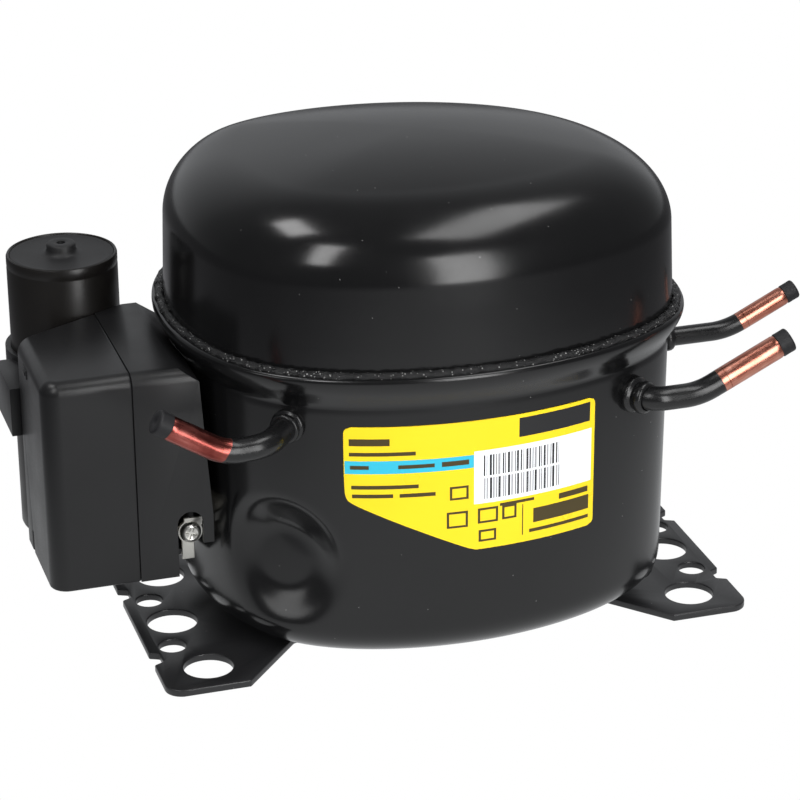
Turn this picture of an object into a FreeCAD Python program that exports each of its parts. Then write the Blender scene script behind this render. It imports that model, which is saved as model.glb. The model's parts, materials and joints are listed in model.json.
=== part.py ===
"""Hermetic reciprocating compressor: welded shell, sprung motor pump, electrical box.

Frame: millimetres, +Z up, origin at the centre of the four mounting holes, on the
underside of the feet. X runs along the 170 mm hole spacing and the connectors point to +X.
"""
import FreeCAD, Part
import math
import os
import Sketcher

V = FreeCAD.Vector
doc = FreeCAD.newDocument("compressor")

# ---------------------------------------------------------------- driving dimensions
DIMS = {
    # shell outline: a mean radius with a two-lobed, three-lobed and four-lobed part
    "plan_radius": 78.45, "plan_centre_x": -2.2, "plan_centre_y": 4.2,
    "lobe_two": 7.14, "lobe_two_turn": -18.0, "lobe_three": 2.05, "lobe_three_turn": -9.2,
    "lobe_four": -1.74,
    "sheet_thick": 2.5, "shell_floor": 4.57, "floor_inset": 23.3, "wall_foot_inset": 2.28,
    "floor_corner": 15.0, "step_inset": 1.06, "step_height": 98.1, "rim_flare": 3.96,
    "rim_low": 107.0, "rim_top": 109.6, "socket_low": 105.5, "socket_gap": 0.05,
    "crown_wall_top": 137.3, "crown_draft": 0.88, "crown_corner_in": 33.24,
    "crown_corner_up": 25.1, "crown_turn": 75.0, "crown_top": 167.6,
    "dent_radius": 23.5, "dent_depth": 7.0, "dent_height": 40.5, "dent_facing": -134.0,
    # feet
    "foot_thick": 2.5, "foot_half_length": 101.7, "foot_half_width": 49.0,
    "foot_bevel_x": 74.0, "foot_neck_x": 52.7, "foot_neck_y": 24.4, "foot_inner_x": 44.0,
    "foot_corner": 6.0, "mount_half_x": 85.0, "mount_half_y": 35.0, "mount_radius": 8.25,
    "side_hole_x": 89.0, "side_hole_radius": 8.5, "small_hole_x": 93.0,
    "small_hole_y": 17.4, "small_hole_radius": 4.6, "notch_y": 24.5, "notch_half": 2.8,
    "notch_depth": 3.3,
    # connectors
    "suction_radius": 4.0, "suction_bore": 3.1, "discharge_radius": 3.25,
    "discharge_bore": 2.5, "collar_wall": 2.0, "collar_out": 4.5, "seal_head": 4.8,
    "seal_stem": 8.0,
    # electrical box and start capacitor
    "box_front": -24.0, "box_left": -133.0, "box_seam": -103.7, "box_right": -82.0,
    "box_back_left": 18.0, "box_back_right": 38.5, "box_knee": -93.5, "box_floor": 31.0,
    "box_top": 104.0, "box_wall": 2.0, "can_radius": 18.7, "can_x": -110.5, "can_y": 51.3,
    "can_floor": 21.5, "can_height": 99.0,
    # motor and pump, in their own frame on the shaft axis
    "pump_turn": -18.0, "stator_half": 47.0, "stator_chamfer": 15.0, "stator_floor": 34.0,
    "stack": 45.0, "bore_radius": 30.5, "rotor_radius": 30.1, "bolt_half": 34.5,
    "journal_radius": 8.0, "throw": 7.35, "crankpin_radius": 6.0, "cylinder_height": 131.0,
    "piston_radius": 10.46, "cylinder_radius": 10.5, "slider_radius": 9.45,
    "yoke_bore": 9.5, "yoke_radius": 12.0, "head_face": 52.0, "rest_crank": 45.0,
    "spring_radius": 5.2, "spring_wire": 0.8, "relay_plunger_radius": 4.0,
}

sheet = doc.addObject("Spreadsheet::Sheet", "dims")
for row, (alias, value) in enumerate(DIMS.items(), start=1):
    sheet.set(f"A{row}", alias)
    sheet.set(f"B{row}", str(value))
    sheet.setAlias(f"B{row}", alias)
doc.recompute()


def dim(alias):
    """The value of one driving dimension."""
    return float(sheet.get(alias))


# ---------------------------------------------------------------- general helpers
NODES = []


def node(obj, label):
    """Name an object of the document as one finished piece."""
    obj.Label = label
    NODES.append(obj)
    return obj


def bind(obj, **expressions):
    """Tie properties of an object to the sheet; a plain number is also allowed."""
    for prop, expression in expressions.items():
        text = str(expression)
        for alias in DIMS:
            text = " ".join(f"dims.{alias}" if w == alias else w for w in text.split(" "))
        obj.setExpression(prop, text)


def place(x, y, z, axis=V(0, 0, 1), spin=0.0):
    """A placement at a point with local Z along axis."""
    turn = FreeCAD.Rotation(V(0, 0, 1), axis)
    return FreeCAD.Placement(V(x, y, z), turn * FreeCAD.Rotation(V(0, 0, 1), spin))


def cylinder(name, radius, height, at=(0, 0, 0), axis=V(0, 0, 1)):
    obj = doc.addObject("Part::Cylinder", name)
    bind(obj, Radius=radius, Height=height)
    obj.Placement = place(*at, axis)
    return obj


def box(name, low, high):
    obj = doc.addObject("Part::Box", name)
    obj.Length = high[0] - low[0]
    obj.Width = high[1] - low[1]
    obj.Height = high[2] - low[2]
    obj.Placement = place(*low)
    return obj


def cut(name, base, tool):
    obj = doc.addObject("Part::Cut", name)
    obj.Base = base
    obj.Tool = tool
    return obj


def fuse(name, shapes):
    obj = doc.addObject("Part::MultiFuse", name)
    obj.Shapes = shapes
    return obj


def group(name, shapes):
    """Identical separate pieces that share one node."""
    obj = doc.addObject("Part::Compound", name)
    obj.Links = shapes
    return obj


def feature(name, shape):
    obj = doc.addObject("Part::Feature", name)
    obj.Shape = shape
    return obj


def origin_plane(body, role):
    return [f for f in body.Origin.OriginFeatures if f.Role == role][0]


def sketch_on(body, name, role, lift=0.0):
    """A sketch on one of the body's own origin planes, lifted along its normal."""
    sketch = body.newObject("Sketcher::SketchObject", name)
    sketch.AttachmentSupport = [(origin_plane(body, role), "")]
    sketch.MapMode = "FlatFace"
    sketch.AttachmentOffset = FreeCAD.Placement(V(0, 0, lift), FreeCAD.Rotation())
    return sketch


def add_polygon(sketch, points):
    for start, end in zip(points, points[1:] + points[:1]):
        sketch.addGeometry(Part.LineSegment(V(*start, 0), V(*end, 0)), False)


def add_circle(sketch, x, y, radius):
    """A circle whose radius is bound to the sheet when it is given by name."""
    number = dim(radius) if isinstance(radius, str) else radius
    index = sketch.addGeometry(Part.Circle(V(x, y, 0), V(0, 0, 1), number), False)
    constraint = sketch.addConstraint(Sketcher.Constraint("Radius", index, number))
    if isinstance(radius, str):
        sketch.setExpression(f"Constraints[{constraint}]", f"dims.{radius}")


def plate(name, points, holes, thick, lift=0.0, role="XY_Plane"):
    """A padded sketch: one closed outline with round holes."""
    body = doc.addObject("PartDesign::Body", name)
    sketch = sketch_on(body, name + "_outline", role, lift)
    add_polygon(sketch, points)
    for x, y, radius in holes:
        add_circle(sketch, x, y, radius)
    pad = body.newObject("PartDesign::Pad", name + "_pad")
    pad.Profile = sketch
    bind(pad, Length=thick)
    body.Tip = pad
    return body


# ---------------------------------------------------------------- oval shell outline
PLAN_STEPS = 72


def plan_point(degrees, inset, z=0.0):
    """Point of the oval whose outward normal points along degrees, moved in by inset."""
    support = dim("plan_radius") - inset
    slope = 0.0
    lobes = ((2, "lobe_two", dim("lobe_two_turn")), (3, "lobe_three", dim("lobe_three_turn")),
             (4, "lobe_four", 0.0))
    for order, alias, turn in lobes:
        angle = math.radians(order * (degrees - turn))
        support += dim(alias) * math.cos(angle)
        slope -= order * dim(alias) * math.sin(angle)
    c = math.cos(math.radians(degrees))
    s = math.sin(math.radians(degrees))
    return V(dim("plan_centre_x") + support * c - slope * s,
             dim("plan_centre_y") + support * s + slope * c, z)


def plan_wire(inset, z, scale=1.0):
    """The closed outline at one height, scaled about the shell's centre if asked."""
    centre = V(dim("plan_centre_x"), dim("plan_centre_y"), z)
    points = [centre + (plan_point(360.0 * i / PLAN_STEPS, inset, z) - centre) * scale
              for i in range(PLAN_STEPS)]
    curve = Part.BSplineCurve()
    curve.interpolate(Points=points, PeriodicFlag=True,
                      Parameters=[float(i) for i in range(PLAN_STEPS + 1)])
    quarter = PLAN_STEPS // 4
    return Part.Wire([curve.toShape(quarter * i, quarter * (i + 1)) for i in range(4)])


def plan_solid(profile):
    """A solid through (inset, z) or (inset, z, scale) stations, bottom to top."""
    return Part.makeLoft([plan_wire(*station) for station in profile], True, True)


def lower_profile(thick):
    """Stations of the lower shell's outside, or of its inside when thick is the sheet."""
    floor = dim("shell_floor") + thick
    foot = dim("wall_foot_inset") + thick
    up = dim("floor_corner") - thick
    across = dim("floor_inset") - dim("wall_foot_inset") - thick
    profile = []
    for degrees in (90, 75, 60, 45, 30, 15, 0):
        angle = math.radians(degrees)
        inset = foot + across * (1 - math.cos(angle))
        profile.append((inset, floor + up * (1 - math.sin(angle))))
    profile.append((dim("step_inset") + thick, dim("step_height")))
    if thick:
        profile.append((-dim("socket_gap"), dim("socket_low") - 0.1))
        profile.append((-dim("socket_gap"), dim("rim_top") + 1.0))
    else:
        profile.append((-dim("rim_flare"), dim("rim_low")))
        profile.append((-dim("rim_flare"), dim("rim_top") - 0.8))
        profile.append((-dim("rim_flare") + 0.8, dim("rim_top")))
    return profile


def upper_profile(thick):
    """Stations of the upper shell's outside, or of its inside when thick is the sheet."""
    draft = dim("crown_draft") + thick
    across = dim("crown_corner_in") - thick
    up = dim("crown_corner_up") - thick
    wall_top = dim("crown_wall_top")
    profile = [(thick, dim("socket_low") - (1.0 if thick else 0.0))]
    turn = dim("crown_turn")
    for step in range(9):
        angle = math.radians(turn * step / 8)
        profile.append((draft + across * (1 - math.cos(angle)), wall_top + up * math.sin(angle)))
    last_inset, last_z = profile[-1]
    rise = dim("crown_top") - thick - last_z
    for scale in (0.85, 0.7, 0.5, 0.3, 0.12):
        profile.append((last_inset, last_z + rise * (1 - scale * scale), scale))
    return profile


def facing(degrees):
    return V(math.cos(math.radians(degrees)), math.sin(math.radians(degrees)), 0)


def dent_tool(thick):
    """Cone that presses the flat, round dent into the front left corner."""
    out = facing(dim("dent_facing"))
    wall = plan_point(dim("dent_facing"), dim("step_inset"), dim("dent_height"))
    floor_radius = dim("dent_radius") - dim("dent_depth") + thick
    base = wall - out * (dim("dent_depth") + thick)
    reach = dim("dent_depth") * 3
    return Part.makeCone(floor_radius, floor_radius + reach, reach, base, out)


# ---------------------------------------------------------------- connectors
# Each connector leaves the wall square, then turns to run along X and up a little.
STUBS = {
    "suction": dict(facing=-60.0, height=87.5, run_y=-58.0, bend=(76.8, 87.5),
                    end=(104.0, 100.8), turns=(9.0, 22.0), radius="suction_radius",
                    bore="suction_bore"),
    "process": dict(facing=-128.2, height=90.6, run_y=-60.0, bend=(-82.6, 89.8),
                    end=(-100.4, 101.1), turns=(10.0, 16.0), radius="suction_radius",
                    bore="suction_bore"),
    "discharge": dict(facing=0.0, height=86.4, run_y=-7.0, bend=(107.5, 86.4),
                      end=(128.3, 96.6), turns=(25.0,), radius="discharge_radius",
                      bore="discharge_bore"),
}


def stub_root(stub):
    return plan_point(stub["facing"], dim("step_inset") + 0.2, stub["height"])


def stub_points(stub):
    """Corner points of a connector's centre line, from inside the wall to its open end."""
    root = stub_root(stub)
    out = facing(stub["facing"])
    start = root - out * 9.0
    bend_x, bend_z = stub["bend"]
    end_x, end_z = stub["end"]
    bend = V(bend_x, stub["run_y"], bend_z)
    end = V(end_x, stub["run_y"], end_z)
    if abs(out.y) < 0.1:
        return [V(start.x, stub["run_y"], start.z), bend, end]
    side = root + out * ((stub["run_y"] - root.y) / out.y)
    return [start, side, bend, end]


def rounded_path(points, radii):
    """A wire of straight runs joined by tangent arcs at the inner points."""
    edges = []
    cursor = points[0]
    for before, corner, after, radius in zip(points, points[1:], points[2:], radii):
        back = (before - corner).normalize()
        ahead = (after - corner).normalize()
        half = back.getAngle(ahead) / 2
        length = radius / math.tan(half)
        middle = corner + (back + ahead).normalize() * (radius / math.sin(half) - radius)
        first = corner + back * length
        last = corner + ahead * length
        edges.append(Part.LineSegment(cursor, first).toShape())
        edges.append(Part.Arc(first, middle, last).toShape())
        cursor = last
    edges.append(Part.LineSegment(cursor, points[-1]).toShape())
    return Part.Wire(edges)


def tube_along(points, radii, radius, bore=0.0):
    """A round tube along a path; solid when it has no bore."""
    path = rounded_path(points, radii)
    start = points[0]
    along = (points[1] - start).normalize()

    def swept(size):
        ring = Part.Wire([Part.makeCircle(size, start, along)])
        return path.makePipeShell([ring], True, False)

    outer = swept(radius)
    return outer.cut(swept(bore)) if bore else outer


def stub_direction(stub):
    points = stub_points(stub)
    return (points[-1] - points[-2]).normalize()


# ---------------------------------------------------------------- shell and feet
def build_shell():
    thick = dim("sheet_thick")
    outside = plan_solid(lower_profile(0.0)).cut(dent_tool(0.0))
    inside = plan_solid(lower_profile(thick)).cut(dent_tool(thick))
    lower = outside.cut(inside)
    for stub in STUBS.values():
        hole = dim(stub["radius"]) + dim("collar_wall") + 0.05
        start = stub_root(stub) - facing(stub["facing"]) * 12
        lower = lower.cut(Part.makeCylinder(hole, 24, start, facing(stub["facing"])))
    lower = lower.cut(Part.makeCylinder(TERMINAL_RADIUS + 0.05, 14, terminal_at(6), V(-1, 0, 0)))
    node(feature("LowerShell", lower.removeSplitter()), "lower_shell")
    upper = plan_solid(upper_profile(0.0)).cut(plan_solid(upper_profile(thick)))
    node(feature("UpperShell", upper), "upper_shell")
    rim = dim("rim_top")
    bead = plan_solid([(-dim("rim_flare") + 0.9, rim), (-2.6, rim + 1.3), (-1.2, rim + 1.9),
                       (0.0, rim + 2.1)])
    bead = bead.cut(plan_solid([(-0.03, rim - 1.0), (-0.03, rim + 3.0)]))
    node(feature("SeamWeld", bead), "seam_weld")


def build_feet():
    for side, label in ((-1, "foot_left"), (1, "foot_right")):
        outer = dim("foot_half_length")
        wide = dim("foot_half_width")
        notch_out = dim("notch_y") + dim("notch_half")
        notch_in = dim("notch_y") - dim("notch_half")
        bottom = outer - dim("notch_depth")
        half = [(dim("foot_inner_x"), 0), (dim("foot_inner_x"), dim("foot_neck_y")),
                (dim("foot_neck_x"), dim("foot_neck_y")), (dim("foot_bevel_x"), wide),
                (outer, wide), (outer, notch_out + 1.6), (bottom, notch_out),
                (bottom, notch_in), (outer, notch_in - 1.6)]
        outline = [(side * x, y) for x, y in half[1:]]
        outline += [(side * x, -y) for x, y in reversed(half[1:])]
        holes = [(side * dim("side_hole_x"), 0, "side_hole_radius")]
        for end in (-1, 1):
            holes.append((side * dim("mount_half_x"), end * dim("mount_half_y"), "mount_radius"))
            holes.append((side * dim("small_hole_x"), end * dim("small_hole_y"),
                          "small_hole_radius"))
        body = plate(label + "_body", outline, holes, "foot_thick")
        doc.recompute()
        land = sketch_on(body, label + "_land", "XY_Plane", dim("foot_thick"))
        near = side * (dim("foot_inner_x") + 0.5)
        far = side * (dim("foot_neck_x") + 3.0)
        add_polygon(land, [(near, -20), (far, -20), (far, 20), (near, 20)])
        raised = body.newObject("PartDesign::Pad", label + "_land_pad")
        raised.Profile = land
        bind(raised, Length="shell_floor - foot_thick")
        body.Tip = raised
        doc.recompute()
        corners = [edge_name(body.Shape, V(side * outer, end * wide, dim("foot_thick") / 2))
                   for end in (-1, 1)]
        rounding = body.newObject("PartDesign::Fillet", label + "_corners")
        rounding.Base = (raised, corners)
        bind(rounding, Radius="foot_corner")
        body.Tip = rounding
        node(body, label)


def edge_name(shape, point):
    """The name of the edge whose middle is nearest a point."""
    distances = [(edge.CenterOfMass.distanceToPoint(point), i)
                 for i, edge in enumerate(shape.Edges, start=1)]
    return f"Edge{min(distances)[1]}"


def build_foot_welds():
    """Short weld runs along the sides of the raised lands, under the shell's floor."""
    runs = []
    for side in (-1, 1):
        for end in (-1, 1):
            x = side * (dim("foot_inner_x") + 6.0)
            run = cylinder("foot_weld", "0.9", "9", (x - 4.5, end * 21.0, 3.5), V(1, 0, 0))
            runs.append(run)
    node(group("FootWelds", runs), "foot_welds")


# ---------------------------------------------------------------- tubes, collars, seals
def build_connectors():
    for name, stub in STUBS.items():
        radius = dim(stub["radius"])
        bore = dim(stub["bore"])
        points = stub_points(stub)
        tube = tube_along(points, stub["turns"], radius, bore)
        node(feature(name + "_tube_shape", tube), name + "_tube")
        out = facing(stub["facing"])
        root = stub_root(stub)
        length = dim("collar_out") + 5.0
        ring = Part.makeCylinder(radius + dim("collar_wall"), length, root - out * 5.0, out)
        flare = Part.makeCone(radius + dim("collar_wall"), radius + 1.1, 2.4,
                              root + out * dim("collar_out"), out)
        collar = ring.fuse(flare).removeSplitter()
        collar = collar.cut(tube_along(points, stub["turns"], radius + 0.04))
        node(feature(name + "_collar_shape", collar), name + "_collar")
        end = points[-1]
        along = stub_direction(stub)
        head = Part.makeCylinder(radius + 0.1, dim("seal_head"), end, along)
        crown = head.Edges
        rims = [edge for edge in crown if edge.Length > 1.0
                and edge.CenterOfMass.distanceToPoint(end + along * dim("seal_head")) < 0.1]
        head = head.makeFillet(0.7, rims)
        stem = Part.makeCylinder(bore - 0.06, dim("seal_stem"),
                                 end - along * dim("seal_stem"), along)
        node(feature(name + "_seal_shape", head.fuse(stem)), name + "_seal")


def build_label():
    """Thin sticker that follows the front wall, with its lower left corner cut off."""
    left, right, low, high = -43.5, 40.5, 46.0, 91.7
    cut_x, cut_z = -2.0, 66.5
    inset_low = 1.9
    inset_high = 1.15
    film = plan_solid([(inset_low - 0.3, low - 1), (inset_high - 0.3, high + 1)])
    film = film.cut(plan_solid([(inset_low - 0.06, low - 2), (inset_high - 0.06, high + 2)]))
    outline = [V(left, -100, cut_z), V(left, -100, high), V(right, -100, high),
               V(right, -100, low), V(cut_x, -100, low)]
    prism = Part.Face(Part.makePolygon(outline + outline[:1])).extrude(V(0, 90, 0))
    uprights = [edge for edge in prism.Edges if abs(edge.Length - 90) < 0.1]
    node(feature("RatingLabel", film.common(prism.makeFillet(2.0, uprights))), "rating_label")


# ---------------------------------------------------------------- terminal and earth point
TERMINAL_RADIUS = 14.0
TERMINAL_HEIGHT = 66.0
TERMINAL_Y = 8.0
PIN_SPREAD = 5.2


def terminal_at(inward):
    """Point on the terminal's axis, a distance inside the wall."""
    wall = plan_point(178.0, dim("step_inset") + 0.4)
    return V(wall.x + inward, TERMINAL_Y, TERMINAL_HEIGHT)


def pin_places():
    for step in range(3):
        angle = math.radians(90 + 120 * step)
        yield TERMINAL_Y + PIN_SPREAD * math.cos(angle), TERMINAL_HEIGHT + PIN_SPREAD * math.sin(angle)


def build_terminal():
    cup = Part.makeCylinder(TERMINAL_RADIUS, 5.6, terminal_at(5.0), V(-1, 0, 0))
    cup = cup.cut(Part.makeCylinder(TERMINAL_RADIUS - 2.0, 3.6, terminal_at(5.0), V(-1, 0, 0)))
    pins = []
    for y, z in pin_places():
        start = terminal_at(9.0)
        cup = cup.cut(Part.makeCylinder(1.2, 20, V(start.x, y, z), V(-1, 0, 0)))
        pins.append(cylinder("terminal_pin", "1.18", "24", (start.x, y, z), V(-1, 0, 0)))
    node(feature("TerminalCup", cup), "terminal_cup")
    node(group("TerminalPins", pins), "terminal_pins")


EARTH = V(-85.0, -16.0, 42.8)


def build_earth_point():
    plate_disc = cylinder("EarthTabDisc", "4.2", "1.2", (EARTH.x, EARTH.y, EARTH.z), V(0, 1, 0))
    spade = box("EarthTabSpade", (EARTH.x - 3.0, EARTH.y, EARTH.z - 9.8),
                (EARTH.x + 1.2, EARTH.y + 1.2, EARTH.z - 2.0))
    ear = box("EarthTabEar", (EARTH.x - 2.0, EARTH.y, EARTH.z + 2.0),
              (EARTH.x + 6.0, EARTH.y + 1.2, EARTH.z + 5.0))
    tab = fuse("EarthTabPlate", [plate_disc, spade, ear])
    hole = cylinder("EarthTabHole", "1.85", "4", (EARTH.x, EARTH.y - 1, EARTH.z), V(0, 1, 0))
    node(cut("EarthTab", tab, hole), "earth_tab")
    shank = cylinder("EarthShank", "1.8", "7", (EARTH.x, EARTH.y, EARTH.z), V(0, 1, 0))
    head = cylinder("EarthHead", "3.6", "1.9", (EARTH.x, EARTH.y, EARTH.z), V(0, -1, 0))
    solid = fuse("EarthScrewBlank", [shank, head])
    slots = fuse("EarthCross", [
        box("EarthSlotA", (EARTH.x - 1.9, EARTH.y - 2.2, EARTH.z - 0.35),
            (EARTH.x + 1.9, EARTH.y - 0.9, EARTH.z + 0.35)),
        box("EarthSlotB", (EARTH.x - 0.35, EARTH.y - 2.2, EARTH.z - 1.9),
            (EARTH.x + 0.35, EARTH.y - 0.9, EARTH.z + 1.9))])
    node(cut("EarthScrew", solid, slots), "earth_screw")


# ---------------------------------------------------------------- electrical box
def prism(points, low, high):
    corners = [V(x, y, low) for x, y in points]
    return Part.Face(Part.makePolygon(corners + corners[:1])).extrude(V(0, 0, high - low))


def box_outline(gap):
    """Plan of the box, drawn in by a wall thickness."""
    return [(dim("box_left") + gap, dim("box_front") + gap),
            (dim("box_left") + gap, dim("box_back_left") - 0.7 * gap),
            (dim("box_knee") - 0.2 * gap, dim("box_back_right") - gap),
            (dim("box_right") - gap, dim("box_back_right") - gap),
            (dim("box_right") - gap, dim("box_front") + gap)]


def rounded(shape, radius, chooser):
    edges = [edge for edge in shape.Edges if chooser(edge)]
    return shape.makeFillet(radius, edges)


BOX_EDGE = 6.0
BOX_RIM = 4.5


def box_solid(gap):
    """The whole box as one block: rounded front edges and a bevel under the shell's rim."""
    low = dim("box_floor") + gap
    high = dim("box_top") - gap
    block = prism(box_outline(gap), low, high)
    right = dim("box_right") - gap
    bevel = [V(right - 6.5, -30, high), V(right, -30, high - 4.5), V(right + 2, -30, high - 4.5),
             V(right + 2, -30, high + 2), V(right - 6.5, -30, high + 2)]
    block = block.cut(Part.Face(Part.makePolygon(bevel + bevel[:1])).extrude(V(0, 80, 0)))
    left = dim("box_left") + gap
    front = dim("box_front") + gap

    def upright(edge):
        middle = edge.CenterOfMass
        return abs(middle.x - left) < 0.1 and abs(middle.y - front) < 0.1

    def on_top(edge):
        middle = edge.CenterOfMass
        return abs(middle.z - high) < 0.1 and (middle.x < left + 2 or middle.y < front + 2)

    return rounded(rounded(block, BOX_EDGE - gap, upright), BOX_RIM - gap / 2, on_top)


def front_lip():
    """Slanting tongue that carries the front wall on towards the shell."""
    right = dim("box_right")
    outline = [(right - 1.5, 42.0), (right + 3.2, 42.0), (right + 3.2, 52.0),
               (right + 1.7, 73.0), (right + 0.9, 86.5), (right + 0.1, 99.4), (right - 1.5, 99.4)]
    corners = [V(x, dim("box_front"), z) for x, z in outline]
    return Part.Face(Part.makePolygon(corners + corners[:1])).extrude(V(0, dim("box_wall"), 0))


def earth_notch():
    """Round-topped slot in the front wall that leaves the earth screw open."""
    slot = Part.makeBox(8.6, 8, 26.0, V(EARTH.x - 5.9, -30, 23.5))
    top = Part.makeCylinder(4.3, 8, V(EARTH.x - 1.6, -30, 49.5), V(0, 1, 0))
    corner = Part.makeBox(12, 22, 15, V(EARTH.x - 5.9, -30, 27))
    behind = Part.makeBox(12, 14, 27, V(EARTH.x - 5.9, dim("box_front") + dim("box_wall"), 27))
    return slot.fuse(top).fuse(corner).fuse(behind)


def rim_room():
    """Space the shell's flared rim needs, with 0.3 mm to spare."""
    return plan_solid([(dim("step_inset") - 0.3, 90.0),
                       (dim("step_inset") - 0.3, dim("step_height")),
                       (-dim("rim_flare") - 0.3, dim("rim_low"))])


def build_box():
    seam = dim("box_seam")
    hollow = box_solid(0.0).cut(box_solid(dim("box_wall")))
    outer_half = Part.makeBox(60, 120, 120, V(seam - 60, -50, 0))
    inner_half = Part.makeBox(60, 120, 120, V(seam, -50, 0))
    cover = hollow.common(outer_half)
    notch = Part.makeBox(6, 1.6, 9, V(dim("box_left") - 2, 8.0, dim("box_floor") - 1))
    cover = cover.cut(notch)
    node(feature("BoxCover", cover), "box_cover")
    base = hollow.common(inner_half)
    window = Part.makeCylinder(TERMINAL_RADIUS + 3, 20, V(-75, TERMINAL_Y, TERMINAL_HEIGHT),
                               V(-1, 0, 0))
    base = base.fuse(front_lip()).removeSplitter().cut(window).cut(earth_notch())
    base = base.cut(rim_room())
    node(feature("BoxBase", base), "box_base")


RELAY = V(-97.0, TERMINAL_Y, TERMINAL_HEIGHT)
COIL_X = -115.0
COIL_FLOOR = 54.0


def build_box_contents():
    case = Part.makeBox(10.5, 26, 32, V(RELAY.x, RELAY.y - 13, RELAY.z - 16))
    shelf = Part.makeBox(30, 20, 3.5, V(RELAY.x - 28, RELAY.y - 10, COIL_FLOOR - 3.5))
    case = case.fuse(shelf)
    for y, z in pin_places():
        case = case.cut(Part.makeCylinder(1.25, 30, V(-70, y, z), V(-1, 0, 0)))
    case = case.cut(Part.makeCylinder(4.5, 12, V(COIL_X, RELAY.y, COIL_FLOOR - 8)))
    node(feature("StartRelay", case.removeSplitter()), "start_relay_case")
    coil = cut("CoilBobbin", cylinder("CoilOuter", "10.5", "26", (COIL_X, RELAY.y, COIL_FLOOR)),
               cylinder("CoilBore", "relay_plunger_radius + 0.5", "30",
                        (COIL_X, RELAY.y, COIL_FLOOR - 2)))
    node(coil, "relay_coil")
    rod = cylinder("PlungerRod", "relay_plunger_radius", "30", (COIL_X, RELAY.y, COIL_FLOOR - 6))
    disc = cylinder("PlungerDisc", "7", "1.4", (COIL_X, RELAY.y, COIL_FLOOR - 7.4))
    node(fuse("RelayPlunger", [rod, disc]), "relay_plunger")
    protector = cylinder("Protector", "8", "12", (-87.0, -13.3, 86.0), V(-1, 0, 0))
    node(protector, "overload_protector")
    block = box("TerminalBlockBody", (-103, -7, 33), (-92.5, 15, 44))
    wells = []
    screws = []
    for step in range(3):
        y = -2.5 + 6.5 * step
        wells.append(cylinder("BlockWell", "2.4", "8", (-97.75, y, 38)))
        screws.append(cylinder("BlockScrew", "2.4", "4", (-97.75, y, 38)))
    node(cut("TerminalBlock", block, fuse("BlockWells", wells)), "terminal_block")
    node(group("BlockScrews", screws), "terminal_block_screws")


def build_capacitor():
    x, y, low = dim("can_x"), dim("can_y"), dim("can_floor")
    can = doc.addObject("Part::Cylinder", "CanBody")
    bind(can, Radius="can_radius", Height="can_height")
    can.Placement = place(x, y, low)
    well = cylinder("CanWell", "can_radius - 1.2", "3", (x, y, low + dim("can_height") - 1.2))
    node(cut("CapacitorCan", can, well), "capacitor_can")
    top = low + dim("can_height") - 1.2
    deck = cylinder("CapDeck", "can_radius - 1.25", "1", (x, y, top))
    boss = cylinder("CapBoss", "4.9", "3.6", (x, y, top + 0.9))
    vent = cylinder("CapVent", "1.4", "4", (x, y, top + 3.4))
    node(cut("CapacitorTop", fuse("CapBlank", [deck, boss]), vent), "capacitor_top")
    ring = Part.makeCylinder(dim("can_radius") + 2.0, 20, V(x, y, 68))
    lug = Part.makeBox(7.5, 26, 17, V(-136, 20, 69))
    clip = ring.fuse(lug).cut(Part.makeCylinder(dim("can_radius") + 0.05, 80, V(x, y, 40)))
    gap = 0.3
    grown = [(dim("box_left") - gap, -60), (dim("box_left") - gap, dim("box_back_left") + gap),
             (dim("box_knee"), dim("box_back_right") + gap),
             (-60, dim("box_back_right") + gap), (-60, -60)]
    clip = clip.cut(prism(grown, 0, 200))
    node(feature("CapacitorClip", clip), "capacitor_clip")


# ---------------------------------------------------------------- motor and pump frame
def pump_frame(x=0.0, y=0.0, z=0.0):
    """Placement of the pump's own frame: shaft axis at the shell's centre, turned."""
    turn = FreeCAD.Rotation(V(0, 0, 1), dim("pump_turn"))
    centre = V(dim("plan_centre_x"), dim("plan_centre_y"), 0)
    return FreeCAD.Placement(centre + turn.multVec(V(x, y, z)), turn)


def in_pump(obj, label):
    obj.Placement = pump_frame()
    return node(obj, label)


def corners(half):
    return [(sx * half, sy * half) for sx in (-1, 1) for sy in (-1, 1)]


def octagon(half, chamfer):
    inner = half - chamfer
    return [(half, -inner), (half, inner), (inner, half), (-inner, half), (-half, inner),
            (-half, -inner), (-inner, -half), (inner, -half)]


SLOTS = 24
TURN_OUT = 41.6
TURN_IN = 32.0


def slot_bars(width, low, high, inner, outer):
    """Straight bars round the bore, one for each slot of the laminations."""
    bars = []
    for step in range(SLOTS):
        bar = Part.makeBox(outer - inner, width, high - low, V(inner, -width / 2, low))
        bar.rotate(V(0, 0, 0), V(0, 0, 1), 360.0 * step / SLOTS)
        bars.append(bar)
    return bars


def build_stator():
    low = dim("stator_floor")
    high = low + dim("stack")
    outline = octagon(dim("stator_half"), dim("stator_chamfer"))
    core = prism(outline, low, high)
    core = core.cut(Part.makeCylinder(dim("bore_radius"), 200, V(0, 0, 0)))
    for x, y in corners(dim("bolt_half")):
        core = core.cut(Part.makeCylinder(2.6, 200, V(x, y, 0)))
    core = core.cut(slot_bars(4.6, low - 1, high + 1, TURN_IN - 0.1, TURN_OUT - 2.9))
    in_pump(feature("StatorCore", core), "stator_core")

    def end_turn(start, height):
        ring = Part.makeCylinder(TURN_OUT, height, V(0, 0, start))
        ring = ring.cut(Part.makeCylinder(TURN_IN, height, V(0, 0, start)))
        rims = [edge for edge in ring.Edges if isinstance(edge.Curve, Part.Circle)]
        return ring.makeFillet(3.0, rims)

    coils = end_turn(low - 15.5, 15.0).fuse([end_turn(high + 0.5, 15.0)]
                                            + slot_bars(4.2, low - 4, high + 4, TURN_IN + 1.2,
                                                        TURN_OUT - 3.1))
    in_pump(feature("StatorWindings", coils), "stator_windings")


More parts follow.
